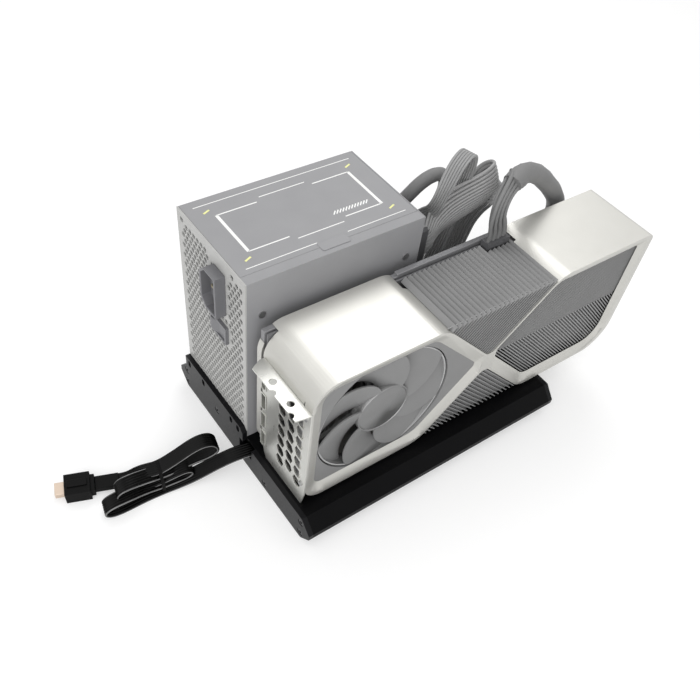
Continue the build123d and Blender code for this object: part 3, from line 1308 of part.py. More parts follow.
NODES = {
    "base_extrusion": base_extrusion,
    "end_plate_left": end_plate_left,
    "end_plate_right": end_plate_right,
    "plate_screws": plate_screws,
    "rubber_feet": rubber_feet,
    "dock_board": dock_board,
    "card_slot": card_slot,
    "main_socket": lambda: dock_socket(MAIN_SOCKET, MAIN_SOCKET_X, MAIN_SOCKET_Y),
    "aux_socket": lambda: dock_socket(AUX_SOCKET, AUX_SOCKET_X, AUX_SOCKET_Y),
    "uplink_header": uplink_header,
    "psu_tray": psu_tray,
    "psu_inlet_panel": psu_inlet_panel,
    "psu_lead_panel": psu_lead_panel,
    "psu_cover": psu_cover,
    "psu_side_screws": psu_side_screws,
    "psu_fan_grille": psu_fan_grille,
    "psu_fan_frame": psu_fan_frame,
    "psu_fan_rotor": psu_fan_rotor,
    "ac_inlet": ac_inlet,
    "inlet_blades": inlet_blades,
    "switch_frame": switch_frame,
    "switch_rocker": switch_rocker,
    "psu_board": psu_board,
    "psu_transformer": psu_transformer,
    "psu_capacitors": psu_capacitors,
    "psu_heat_sinks": psu_heat_sinks,
    "lead_sockets": lead_sockets,
    "psu_lead_plugs": psu_lead_plugs,
    "card_frame": card_frame,
    "back_plate": back_plate,
    "slot_bracket": slot_bracket,
    "bracket_screws": bracket_screws,
    "ports": ports,
    "card_board": card_board,
    "graphics_chip": graphics_chip,
    "cold_plate": cold_plate,
    "inner_fins": inner_fins,
    "upper_fins": lambda: arm_fins(1),
    "lower_fins": lambda: arm_fins(-1),
    "right_fins": right_fins,
    "front_fan_frame": lambda: card_fan_frame(-1),
    "front_fan_rotor": front_fan_rotor,
    "rear_fan_frame": lambda: card_fan_frame(1),
    "rear_fan_rotor": rear_fan_rotor,
    "power_socket": power_socket,
    "card_lead_plug": card_lead_plug,
    "main_plug": lambda: dock_plug(MAIN_SOCKET, MAIN_SOCKET_X, MAIN_SOCKET_Y),
    "aux_plug": lambda: dock_plug(AUX_SOCKET, AUX_SOCKET_X, AUX_SOCKET_Y),
    "wide_lead": lambda: power_lead("wide_lead", WIDE_ROUTE, WIDE_LEAD_R),
    "six_wire_lead": lambda: power_lead("six_wire_lead", SIX_ROUTE, SIX_LEAD_R),
    "sleeved_lead": lambda: power_lead("sleeved_lead", SLEEVED_ROUTE, SLEEVED_LEAD_R),
    "card_lead": lambda: power_lead("card_lead", CARD_ROUTE, CARD_LEAD_R),
    "uplink_run": uplink_run,
    "uplink_hank": uplink_hank,
    "uplink_tail": uplink_tail,
    "uplink_tie": uplink_tie,
    "uplink_neck": uplink_neck,
    "plug_housing": plug_housing,
    "plug_latch": plug_latch,
    "plug_nose": plug_nose,
}


def main():
    """Builds each node and writes it to its own file."""
    os.makedirs("parts", exist_ok=True)
    for name, build in NODES.items():
        export_step(place(build()), f"parts/{name}.step")


if __name__ == "__main__":
    main()
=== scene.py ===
"""Looks of an open external graphics dock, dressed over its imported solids.

A flat black base carries a desktop power supply and a large graphics card. Flat power leads arch between
them, and a flat uplink cable lies folded and tied on the table. Sizes are in millimetres in the maker's
working frame, where X runs along the dock, Y runs from the card to the supply and Z is 0 on the base's top.
"""
from __future__ import annotations

import logging
import math
from dataclasses import dataclass, field
from enum import Enum
from typing import Any, Sequence

import bmesh
import bpy
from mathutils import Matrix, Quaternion, Vector

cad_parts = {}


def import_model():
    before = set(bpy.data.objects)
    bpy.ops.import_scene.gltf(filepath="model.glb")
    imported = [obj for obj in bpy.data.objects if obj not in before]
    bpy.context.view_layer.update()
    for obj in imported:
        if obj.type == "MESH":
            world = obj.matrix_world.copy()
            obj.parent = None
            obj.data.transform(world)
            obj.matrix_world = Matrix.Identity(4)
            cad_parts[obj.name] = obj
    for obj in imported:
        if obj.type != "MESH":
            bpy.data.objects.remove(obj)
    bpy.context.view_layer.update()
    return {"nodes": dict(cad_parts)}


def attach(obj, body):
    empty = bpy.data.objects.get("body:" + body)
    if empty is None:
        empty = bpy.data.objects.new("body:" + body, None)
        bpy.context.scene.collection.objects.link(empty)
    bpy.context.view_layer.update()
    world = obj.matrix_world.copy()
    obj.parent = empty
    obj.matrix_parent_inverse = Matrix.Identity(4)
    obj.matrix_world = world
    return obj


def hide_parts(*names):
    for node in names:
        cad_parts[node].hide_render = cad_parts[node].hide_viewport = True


LOG = logging.getLogger("dock")
ORIGIN_MM = Vector((152.35, 2.5, -26.5))
MM = 0.001
BODY = "dock"
# Distances within which points are one, in metres: on a solid's triangles and at a turned piece's pole
MERGE_M = 1e-6
POLE_M = 2e-6
# Faces that meet at less than this angle are one flat face
FLAT_DEG = 0.5
# Softened solids: angles past which edges stay sharp and are rounded, and steps of the rounding
SHARP_DEG = 30.0
ROUND_DEG = 40.0
ROUND_STEPS = 2
# A route's smooth line: order of its spline and steps between two of its points
ROUTE_ORDER = 3
ROUTE_STEPS = 10
# Light found by the grain: strength of its relief, lowest roughness and stretch of turned highlights
RELIEF_STRENGTH = 0.6
LOWEST_ROUGHNESS = 0.03
SPUN_STRETCH = 0.85
# Stretch of even and of brushed grain along each axis
EVEN = (1.0, 1.0, 1.0)
STREAKS = (14.0, 1.0, 14.0)
# Length of one ring of the wave texture at a scale of one
WAVE_LENGTH = 0.314

Triple = tuple[float, float, float]


def spot(x: float, y: float, z: float) -> Vector:
    """Moves a point from the maker's frame to the part's frame.

    Args:
        x: Distance along the dock, in millimetres.
        y: Distance from the supply's near face, in millimetres.
        z: Height over the base's top, in millimetres.

    Returns:
        The point in the part's frame, in metres.
    """
    return (Vector((x, y, z)) - ORIGIN_MM) * MM


def linear(code: str) -> tuple[float, float, float, float]:
    """Turns an sRGB hex colour to linear light.

    Args:
        code: Six hex digits after a hash sign.

    Returns:
        Linear red, green, blue and an alpha of one.
    """
    parts = [int(code[i:i + 2], 16) / 255 for i in (1, 3, 5)]
    light = [c / 12.92 if c <= 0.04045 else ((c + 0.055) / 1.055) ** 2.4 for c in parts]
    return (light[0], light[1], light[2], 1.0)


def add_node(tree: bpy.types.NodeTree, kind: str, settings: dict[str, Any] | None = None,
             inputs: dict[str | int, Any] | None = None) -> bpy.types.Node:
    """Adds a node, sets it up and links it.

    Args:
        tree: Tree that takes the node.
        kind: Blender's type name of the node.
        settings: Properties of the node by name.
        inputs: Values or output sockets for its inputs, by name or number.

    Returns:
        The new node.
    """
    node = tree.nodes.new(kind)
    for key, value in (settings or {}).items():
        setattr(node, key, value)
    for key, value in (inputs or {}).items():
        socket = node.inputs[key]
        if isinstance(value, bpy.types.NodeSocket):
            tree.links.new(value, socket)
        else:
            socket.default_value = value
    return node


class Grain(Enum):
    """How a surface was made, which sets the pattern that light finds on it."""

    MOULDED = "moulded"
    BLASTED = "blasted"
    BRUSHED = "brushed"
    SPUN = "spun"


@dataclass(frozen=True)
class Finish:
    """One real material: its colours, its gloss and the grain that its making left.

    Grain finer than about a millimetre would vanish at the render's scale, so it is drawn that coarse.
    """

    name: str
    slot: str
    colour: str
    shade: str
    metallic: float = 0.0
    roughness: float = 0.5
    spread: float = 0.08
    grain: Grain = Grain.MOULDED
    grain_mm: float = 1.0
    relief_mm: float = 0.02
    patch_mm: float = 18.0
    specular: float = 0.5
    centre_mm: Triple = (0.0, 0.0, 0.0)

    def material(self) -> bpy.types.Material:
        """Makes the material, or returns the one already made."""
        found = bpy.data.materials.get(self.name)
        if found is not None:
            return found
        material = bpy.data.materials.new(self.name)
        material.use_nodes = True
        tree = material.node_tree
        shader = tree.nodes["Principled BSDF"]
        place = add_node(tree, "ShaderNodeTexCoord").outputs["Object"]
        patch = self.cloud(tree, place, EVEN, self.patch_mm, 2.0)
        grain = self.grain_value(tree, place)
        mixed = add_node(tree, "ShaderNodeMix", {"data_type": "RGBA"},
                         {0: patch, 6: linear(self.colour), 7: linear(self.shade)})
        tree.links.new(mixed.outputs[2], shader.inputs["Base Color"])
        gloss = add_node(tree, "ShaderNodeMapRange", None,
                         {"Value": grain, "To Min": max(self.roughness - self.spread, LOWEST_ROUGHNESS),
                          "To Max": min(self.roughness + self.spread, 1.0)})
        tree.links.new(gloss.outputs[0], shader.inputs["Roughness"])
        bump = add_node(tree, "ShaderNodeBump", None,
                        {"Height": grain, "Strength": RELIEF_STRENGTH, "Distance": self.relief_mm * MM})
        tree.links.new(bump.outputs[0], shader.inputs["Normal"])
        if self.grain is Grain.SPUN:
            turned = add_node(tree, "ShaderNodeTangent", {"direction_type": "RADIAL", "axis": "Y"})
            tree.links.new(turned.outputs[0], shader.inputs["Tangent"])
            shader.inputs["Anisotropic"].default_value = SPUN_STRETCH
        shader.inputs["Metallic"].default_value = self.metallic
        shader.inputs["Specular IOR Level"].default_value = self.specular
        return material

    def cloud(self, tree: bpy.types.NodeTree, place: bpy.types.NodeSocket, stretch: Triple, size_mm: float,
              detail: float) -> bpy.types.NodeSocket:
        """Adds soft noise of a real size.

        Args:
            tree: Material's tree.
            place: Coordinates to read.
            stretch: How much longer the patches are along each axis.
            size_mm: Width of a patch, in millimetres.
            detail: Octaves of finer noise.

        Returns:
            The noise value.
        """
        scale = [1 / (size_mm * MM * s) for s in stretch]
        mapped = add_node(tree, "ShaderNodeMapping", None, {"Vector": place, "Scale": scale})
        noise = add_node(tree, "ShaderNodeTexNoise", None,
                         {"Vector": mapped.outputs[0], "Scale": 1.0, "Detail": detail})
        return noise.outputs[0]

    def grain_value(self, tree: bpy.types.NodeTree, place: bpy.types.NodeSocket) -> bpy.types.NodeSocket:
        """Adds the fine pattern of the surface's making, and returns its value."""
        if self.grain is Grain.SPUN:
            centre = spot(*self.centre_mm)
            moved = add_node(tree, "ShaderNodeMapping", None, {"Vector": place, "Location": -centre})
            rings = add_node(tree, "ShaderNodeTexWave", {"wave_type": "RINGS", "rings_direction": "Y"},
                             {"Vector": moved.outputs[0], "Scale": WAVE_LENGTH / (self.grain_mm * MM),
                              "Distortion": 0.0})
            return rings.outputs[1]
        stretch = STREAKS if self.grain is Grain.BRUSHED else EVEN
        return self.cloud(tree, place, stretch, self.grain_mm, 3.0)


# Extruded aluminium with a black anodised skin: near black, with a broad dull gleam
BLACK_ANODISED = Finish("black_anodised_aluminium", "black_anodised", "#040405", "#09090a", roughness=0.42,
                        grain=Grain.BLASTED, grain_mm=1.2, relief_mm=0.01, specular=0.07)
# The same skin on the flat end plates, drawn a touch lighter: painted light for the light that their faces
# and edges catch
BLACK_PLATE_PAINTED_LIGHT = Finish("black_anodised_plate_painted_light", "black_anodised", "#0c0c0e", "#131315", roughness=0.36,
                     grain=Grain.BLASTED, grain_mm=1.2, relief_mm=0.01, specular=0.14)
# Blackened steel screw: a touch brighter than the plate round it
BLACK_STEEL = Finish("blackened_steel", "black_steel", "#2c2c2e", "#1c1c1e", 0.5, 0.35)
# Moulded rubber: flat black with no gleam
BLACK_RUBBER = Finish("moulded_rubber", "rubber", "#0c0c0c", "#121212", roughness=0.85, specular=0.1)
# Epoxy glass board under solder lacquer: dark green and slightly glossy
BOARD = Finish("lacquered_circuit_board", "circuit_board", "#16231c", "#0f1813", roughness=0.35)
# The card's board under a dull grey lacquer
GREY_BOARD = Finish("grey_lacquered_board", "circuit_board", "#6c6c6e", "#626264", roughness=0.5)
# Nylon connector: dull dark grey
NYLON = Finish("moulded_nylon", "connector_plastic", "#58585a", "#4b4b4d", roughness=0.6)
# Powder-painted sheet steel: mid grey with a faint orange peel
GREY_PAINT = Finish("powder_painted_steel", "grey_painted_steel", "#949496", "#8c8c8e",
                    roughness=0.5, spread=0.06,
                    grain=Grain.BLASTED, grain_mm=1.4, relief_mm=0.015, specular=0.35)
# The same paint on the pierced panel, drawn lighter: painted light for the side that faces the lamp on the
# left
PANEL_PAINT_PAINTED_LIGHT = Finish("powder_paint_panel_painted_light", "grey_painted_steel", "#b4b4b2", "#a8a8a6",
                     roughness=0.5, spread=0.06,
                     grain=Grain.BLASTED, grain_mm=1.4, relief_mm=0.015, specular=0.35)
# White screen print on the paint
WHITE_PRINT = Finish("white_screen_print", "grey_painted_steel", "#f6f6f4", "#ececea", roughness=0.6)
# Pale yellow screen print
YELLOW_PRINT = Finish("yellow_screen_print", "grey_painted_steel", "#f2f0a8", "#e8e69a", roughness=0.6)
# Zinc-plated steel screw: bright, with a soft gleam
ZINC = Finish("zinc_plated_steel", "zinc_screw", "#a8a8a8", "#8f8f8f", 0.8, 0.35)
# Chromed wire: sharp bright lines
CHROME_WIRE = Finish("chromed_wire", "grille_wire", "#c8c8c8", "#b8b8b8", 1.0, 0.18)
# Glass-filled nylon of fan tunnels and blades: even grey with a soft gleam
FAN_PLASTIC = Finish("glass_filled_nylon", "fan_plastic", "#7c7c7c", "#747474", roughness=0.42, spread=0.05)
# Bright turned edge round the blades and the hub
RING_METAL = Finish("turned_ring_edge", "fan_plastic", "#b4b4b4", "#a8a8a8", 0.4, 0.3)
# Turned cap on the fan's hub: rings that catch the light as a bow tie
HUB_CAP = Finish("spun_hub_cap", "fan_plastic", "#868686", "#7e7e7e", 0.7, 0.36, 0.06, Grain.SPUN, 1.1, 0.02,
                 centre_mm=(67.5, 0.0, 63.0))
# Moulded inlet and switch: dark grey with light rims
INLET_PLASTIC = Finish("moulded_polyamide", "inlet_plastic", "#6e6e71", "#646467", roughness=0.42)
# Stamped brass blade: warm and bright
BRASS = Finish("stamped_brass", "contact_brass", "#d8cfb4", "#c9be9c", 1.0, 0.3)
# Ferrite core wrapped in tape: dull brown grey
FERRITE = Finish("taped_ferrite", "transformer_core", "#4a453d", "#3a362f", roughness=0.7)
# Shrink sleeve on a capacitor: dark and glossy
SLEEVE = Finish("capacitor_sleeve", "capacitor_sleeve", "#26262c", "#1d1d22", roughness=0.3)
# Stamped aluminium fins with a dark grey skin: thin lines of light along their edges
FIN_METAL = Finish("grey_coated_fins", "cooling_aluminium", "#8c8c8c", "#828282", 0.25, 0.42, 0.06,
                   Grain.BRUSHED, 1.2, 0.01)
# Bead-blasted aluminium: pale silver with a wide soft gleam
SILVER = Finish("bead_blasted_aluminium", "silver_aluminium", "#c6c5c0", "#bfbeb9", 0.7, 0.4, 0.04,
                Grain.BLASTED, 1.1, 0.006)
# Dark coated plate on the card's back: mid grey with a dull gleam
BACK_METAL = Finish("dark_coated_aluminium", "back_plate_metal", "#88888a", "#7e7e80", 0.3, 0.42, 0.05,
                    Grain.BLASTED, 1.2, 0.01)
# Stainless sheet with a brushed face: bright, with fine upright streaks
STAINLESS = Finish("brushed_stainless_steel", "stainless_steel", "#d2d2cd", "#c0c0bb", 0.8, 0.3, 0.08,
                   Grain.BRUSHED, 1.2, 0.01)
# Processor package: dark green
PACKAGE = Finish("chip_package", "chip_package", "#2a302c", "#222824", roughness=0.4)
# Rolled copper: warm and bright
COPPER = Finish("rolled_copper", "copper", "#c98a66", "#b97a58", 1.0, 0.3)
# Vinyl-jacketed wires: grey, with a soft line of light on each wire
WIRE_VINYL = Finish("wire_vinyl", "lead_jacket", "#969696", "#8c8c8c", roughness=0.34, spread=0.05)
# Braided polyester sleeve: a coarser, duller grey
BRAID = Finish("braided_sleeve", "lead_jacket", "#7e7e7e", "#727272", roughness=0.62, spread=0.1,
               grain_mm=1.1, relief_mm=0.14)
# Flat cable in glossy black vinyl: black, with thin bright edges that are painted highlights on the paler
# edge strands below
CABLE_VINYL = Finish("glossy_cable_vinyl", "cable_jacket", "#030303", "#060606", roughness=0.2, spread=0.05,
                     specular=0.12)
# Painted highlight on the flat cable's two edges: paler strands, broken by darker patches, whose colour
# stands for the bright line along a tight glossy curve
CABLE_EDGE_PAINTED_HIGHLIGHT = Finish("cable_edge_painted_highlight", "cable_jacket", "#8c8c8c", "#3c3c3c", roughness=0.15,
                    patch_mm=9.0)
# Plug moulding in dull black
PLUG_PLASTIC = Finish("matte_plug_moulding", "plug_plastic", "#060606", "#0b0b0b", roughness=0.5,
                      specular=0.08)
# Nickel-plated shell with a warm tone
NOSE_METAL = Finish("nickel_plated_shell", "plug_metal", "#cbb9a8", "#bfae9e", 0.5, 0.35)


def new_object(name: str, mesh: bpy.types.Mesh) -> bpy.types.Object:
    """Links a new object that carries a mesh.

    Args:
        name: Piece's name.
        mesh: Its mesh, in metres in the part's frame.

    Returns:
        The linked object.
    """
    piece = bpy.data.objects.new(name, mesh)
    bpy.context.scene.collection.objects.link(piece)
    return piece


def settle(piece: bpy.types.Object, finish: Finish, body: str, *nodes: str) -> bpy.types.Object:
    """Gives a piece its finish and its place in the model.

    Args:
        piece: New object.
        finish: Finish that it takes.
        body: Body that it rides on.
        nodes: Solids that it stands for.

    Returns:
        The same object.
    """
    if not piece.data.materials:
        piece.data.materials.append(finish.material())
    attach(piece, body)
    if nodes:
        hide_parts(*nodes)
    LOG.info("%s made", piece.name)
    return piece


def smooth_by_angle(mesh: bpy.types.Mesh, degrees: float) -> None:
    """Shades a mesh smooth, with edges sharper than an angle kept.

    Args:
        mesh: Mesh to shade.
        degrees: Angle past which an edge stays sharp.
    """
    mesh.shade_smooth()
    mesh.set_sharp_from_angle(angle=math.radians(degrees))


def mesh_from(bm: bmesh.types.BMesh, name: str, degrees: float = 35.0) -> bpy.types.Mesh:
    """Turns a bmesh to a mesh that is shaded smooth by angle.

    Args:
        bm: Source, which is freed.
        name: Mesh's name.
        degrees: Angle past which an edge stays sharp.

    Returns:
        The mesh.
    """
    mesh = bpy.data.meshes.new(name)
    bm.to_mesh(mesh)
    bm.free()
    smooth_by_angle(mesh, degrees)
    return mesh


def run_tree(piece: bpy.types.Object, tree: bpy.types.NodeTree, values: dict[str, Any]) -> None:
    """Runs a Geometry Nodes tree on a piece and keeps the result as its plain mesh.

    Args:
        piece: Object whose mesh goes in.
        tree: Tree to run.
        values: Values of the tree's named inputs.
    """
    modifier = piece.modifiers.new(tree.name, "NODES")
    modifier.node_group = tree
    for item in tree.interface.items_tree:
        if item.name in values:
            modifier[item.identifier] = values[item.name]
    bpy.context.view_layer.update()
    ready = piece.evaluated_get(bpy.context.evaluated_depsgraph_get())
    mesh = bpy.data.meshes.new_from_object(ready)
    piece.modifiers.clear()
    piece.data = mesh


def new_tree(name: str, sockets: dict[str, str]) -> tuple[bpy.types.NodeTree, bpy.types.Node,
                                                         bpy.types.Node]:
    """Starts a Geometry Nodes tree with named inputs.

    Args:
        name: Tree's name.
        sockets: Socket type of each input, by name.

    Returns:
        The tree, its input node and its output node.
    """
    tree = bpy.data.node_groups.new(name, "GeometryNodeTree")
    tree.interface.new_socket("Geometry", in_out="INPUT", socket_type="NodeSocketGeometry")
    for key, kind in sockets.items():
        tree.interface.new_socket(key, in_out="INPUT", socket_type=kind)
    tree.interface.new_socket("Geometry", in_out="OUTPUT", socket_type="NodeSocketGeometry")
    return tree, tree.nodes.new("NodeGroupInput"), tree.nodes.new("NodeGroupOutput")


def end_tree(tree: bpy.types.NodeTree, geometry: bpy.types.NodeSocket, finish: bpy.types.NodeSocket,
             result: bpy.types.Node) -> None:
    """Ends a tree with real geometry in a finish.

    Args:
        tree: Tree to end.
        geometry: What it made.
        finish: Input that holds the material.
        result: Tree's output node.
    """
    real = add_node(tree, "GeometryNodeRealizeInstances", None, {0: geometry})
    dressed = add_node(tree, "GeometryNodeSetMaterial", None,
                       {"Geometry": real.outputs[0], "Material": finish})
    tree.links.new(dressed.outputs[0], result.inputs[0])


def merged(mesh: bpy.types.Mesh) -> bmesh.types.BMesh:
    """Copies a solid's loose triangles, with doubles merged and flat faces joined."""
    bm = bmesh.new()
    bm.from_mesh(mesh)
    bmesh.ops.remove_doubles(bm, verts=bm.verts, dist=MERGE_M)
    bmesh.ops.dissolve_limit(bm, angle_limit=math.radians(FLAT_DEG), verts=bm.verts, edges=bm.edges)
    return bm


def bridge(bm: bmesh.types.BMesh, rings: Sequence[Sequence[bmesh.types.BMVert]], finish: int = 0) -> None:
    """Skins a row of rings and closes both ends.

    Args:
        bm: Mesh that holds them.
        rings: Rings with the same number of points.
        finish: Number of the skin's material.
    """
    for here, there in zip(rings, rings[1:]):
        for k in range(len(here)):
            n = (k + 1) % len(here)
            bm.faces.new([here[k], here[n], there[n], there[k]]).material_index = finish
    bm.faces.new(rings[0])
    bm.faces.new(rings[-1])


def row_tree() -> bpy.types.NodeTree:
    """Builds the tree that repeats its geometry in a row, or returns the one already built."""
    found = bpy.data.node_groups.get("row")
    if found is not None:
        return found
    kinds = {"Count": "NodeSocketInt", "Step": "NodeSocketVector", "Finish": "NodeSocketMaterial"}
    tree, given, result = new_tree("row", kinds)
    line = add_node(tree, "GeometryNodeMeshLine", None,
                    {"Count": given.outputs["Count"], "Offset": given.outputs["Step"]})
    copies = add_node(tree, "GeometryNodeInstanceOnPoints", None,
                      {"Points": line.outputs[0], "Instance": given.outputs["Geometry"]})
    end_tree(tree, copies.outputs[0], given.outputs["Finish"], result)
    return tree


class Dresser:
    """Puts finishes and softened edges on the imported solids."""

    def __init__(self, nodes: dict[str, bpy.types.Object]) -> None:
        """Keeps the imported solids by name."""
        self.nodes = nodes

    def paint(self, finish: Finish, *names: str) -> None:
        """Gives solids a finish as they are.

        Args:
            finish: Finish that they take.
            names: Solids' names.
        """
        for name in names:
            mesh = self.nodes[name].data
            mesh.materials.clear()
            mesh.materials.append(finish.material())
            LOG.info("%s painted", name)

    def soften(self, name: str, finish: Finish, edge_mm: float, body: str = BODY) -> bpy.types.Object:
        """Makes a copy of a solid with rounded edges, which stands for it.

        Args:
            name: Solid's name.
            finish: Finish that it takes.
            edge_mm: Width of the rounding, in millimetres.
            body: Body that it rides on.

        Returns:
            The new piece.
        """
        mesh = mesh_from(merged(self.nodes[name].data), name + "_softened", SHARP_DEG)
        piece = new_object(name + "_finished", mesh)
        bevel = piece.modifiers.new("edges", "BEVEL")
        bevel.width = edge_mm * MM
        bevel.segments = ROUND_STEPS
        bevel.limit_method = "ANGLE"
        bevel.angle_limit = math.radians(ROUND_DEG)
        bevel.harden_normals = False
        weighted = piece.modifiers.new("even_shading", "WEIGHTED_NORMAL")
        weighted.keep_sharp = True
        return settle(piece, finish, body, name)


@dataclass
class DockBase:
    """Black base: extrusion, end plates, screws, feet and what shows through its openings."""

    dresser: Dresser
    edge_mm: float = 0.5

    def build(self) -> None:
        """Dresses every piece of the base."""
        self.dresser.soften("base_extrusion", BLACK_ANODISED, self.edge_mm)
        # The end plates take the lighter copy of the anodised skin, which is painted light
        self.dresser.soften("end_plate_left", BLACK_PLATE_PAINTED_LIGHT, self.edge_mm)
        self.dresser.soften("end_plate_right", BLACK_PLATE_PAINTED_LIGHT, self.edge_mm)
        self.dresser.paint(BLACK_STEEL, "plate_screws")
        self.dresser.paint(BLACK_RUBBER, "rubber_feet")
        self.dresser.paint(BOARD, "dock_board")
        self.dresser.paint(NYLON, "card_slot", "main_socket", "aux_socket", "uplink_header", "main_plug",
                           "aux_plug")


@dataclass
class PowerSupply:
    """Grey steel supply: pierced panel, cover with a screen print, inlet, switch and fan."""

    dresser: Dresser
    size_mm: Triple = (140.0, 86.0, 150.0)
    sheet_mm: float = 1.0
    vent_pitch_mm: float = 4.9
    vent_radius_mm: float = 2.15
    vent_margin_mm: float = 5.5
    keep_out_mm: tuple = ((34.0, 122.0, 13.0, 20.5), (32.5, 87.5, 13.5, 10.5))
    cut_outs_mm: tuple = ((34.0, 122.0, 16.0, 30.0), (32.5, 87.5, 19.0, 13.0))
    corner_holes_mm: tuple = ((16.0, 6.0), (16.0, 144.0), (80.0, 6.0), (80.0, 144.0))
    hole_margin_mm: float = 5.0
    slack_mm: float = 0.1
    cutter_sheets: float = 4.0
    print_mm: float = 0.12
    bracket_ends_mm: tuple = ((18.0, 30.0), (122.0, -30.0))
    bracket_rows_mm: tuple[float, float] = (26.0, 66.0)
    bracket_widths_mm: tuple[float, float] = (2.2, 0.9)
    rules_mm: tuple = (
        ((52.0, 22.0), (88.0, 22.0), 0.7), ((52.0, 70.0), (88.0, 70.0), 0.7),
        ((8.0, 12.5), (60.0, 12.5), 0.6), ((84.0, 12.5), (132.0, 12.5), 0.6),
        ((8.0, 79.0), (132.0, 79.0), 0.6))
    dashes_mm: tuple = ((14.0, 72.0), (126.0, 72.0), (14.0, 20.0), (126.0, 20.0))
    dash_half_mm: tuple[float, float] = (2.5, 1.0)
    dash_width_mm: float = 1.3
    hatch_mm: tuple = ((86.0, 31.0), (89.0, 34.0), 0.9)
    hatch_count: int = 12
    hatch_step_mm: float = 2.4

    def build(self) -> None:
        """Makes the pierced panel and print, and dresses the rest."""
        self.panel()
        for name, finish, edge_mm in (("psu_tray", GREY_PAINT, 0.3), ("psu_lead_panel", GREY_PAINT, 0.3),
                                      ("psu_cover", GREY_PAINT, 0.35), ("ac_inlet", INLET_PLASTIC, 0.5),
                                      ("switch_frame", INLET_PLASTIC, 0.4)):
            self.dresser.soften(name, finish, edge_mm)
        self.dresser.soften("switch_rocker", INLET_PLASTIC, 0.4, "power_rocker")
        self.dresser.paint(BRASS, "inlet_blades")
        self.dresser.paint(ZINC, "psu_side_screws")
        self.dresser.paint(CHROME_WIRE, "psu_fan_grille")
        self.dresser.paint(FAN_PLASTIC, "psu_fan_frame", "psu_fan_rotor")
        self.dresser.paint(BOARD, "psu_board")
        self.dresser.paint(FERRITE, "psu_transformer")
        self.dresser.paint(SLEEVE, "psu_capacitors")
        self.dresser.paint(FIN_METAL, "psu_heat_sinks")
        self.dresser.paint(NYLON, "lead_sockets", "psu_lead_plugs")
        self.screen_print()

    def vent_places(self) -> list[Vector]:
        """Works out the honeycomb of holes, clear of the inlet, the switch and the edges."""
        step = self.vent_pitch_mm * math.sqrt(3) / 2
        rows = int((self.size_mm[2] - 2 * self.vent_margin_mm) / step) + 1
        columns = int((self.size_mm[1] - 2 * self.vent_margin_mm) / self.vent_pitch_mm) + 1
        blocked = list(self.keep_out_mm) + [(y, z, self.hole_margin_mm, self.hole_margin_mm)
                                              for y, z in self.corner_holes_mm]
        places = []
        for row in range(rows):
            z = self.vent_margin_mm + row * step
            for column in range(columns):
                y = self.vent_margin_mm + (column + 0.5 * (row % 2)) * self.vent_pitch_mm
                free = all(abs(y - by) > wy or abs(z - bz) > wz for by, bz, wy, wz in blocked)
                if free and y < self.size_mm[1] - self.vent_margin_mm + self.slack_mm:
                    places.append(spot(self.sheet_mm / 2, y, z))
        return places + [spot(self.sheet_mm / 2, y, z) for y, z in self.corner_holes_mm]

    def vent_tree(self) -> bpy.types.NodeTree:
        """Builds the tree that pierces a sheet with six-sided holes at the piece's own points."""
        kinds = {"Sheet Size": "NodeSocketVector", "Sheet Centre": "NodeSocketVector",
                 "Hole Radius": "NodeSocketFloat", "Hole Depth": "NodeSocketFloat",
                 "Inlet Size": "NodeSocketVector", "Inlet Centre": "NodeSocketVector",
                 "Switch Size": "NodeSocketVector", "Switch Centre": "NodeSocketVector",
                 "Finish": "NodeSocketMaterial"}
        tree, given, result = new_tree("pierced_sheet", kinds)
        hexagon = add_node(tree, "GeometryNodeMeshCylinder", None,
                           {"Vertices": 6, "Radius": given.outputs["Hole Radius"],
                            "Depth": given.outputs["Hole Depth"]})
        lying = add_node(tree, "GeometryNodeTransform", None,
                         {"Geometry": hexagon.outputs["Mesh"], "Rotation": (0.0, math.pi / 2, 0.0)})
        copies = add_node(tree, "GeometryNodeInstanceOnPoints", None,
                          {"Points": given.outputs["Geometry"], "Instance": lying.outputs[0]})
        real = add_node(tree, "GeometryNodeRealizeInstances", None, {0: copies.outputs[0]})
        cutters = add_node(tree, "GeometryNodeJoinGeometry")
        tree.links.new(real.outputs[0], cutters.inputs[0])
        for part in ("Inlet", "Switch"):
            cube = add_node(tree, "GeometryNodeMeshCube", None, {"Size": given.outputs[part + " Size"]})
            moved = add_node(tree, "GeometryNodeTransform", None,
                             {"Geometry": cube.outputs[0], "Translation": given.outputs[part + " Centre"]})
            tree.links.new(moved.outputs[0], cutters.inputs[0])
        sheet = add_node(tree, "GeometryNodeMeshCube", None, {"Size": given.outputs["Sheet Size"]})
        placed = add_node(tree, "GeometryNodeTransform", None,
                          {"Geometry": sheet.outputs[0], "Translation": given.outputs["Sheet Centre"]})
        pierced = add_node(tree, "GeometryNodeMeshBoolean",
                           {"operation": "DIFFERENCE", "solver": "MANIFOLD"},
                           {"Mesh 1": placed.outputs[0], "Mesh 2": cutters.outputs[0]})
        end_tree(tree, pierced.outputs[0], given.outputs["Finish"], result)
        return tree

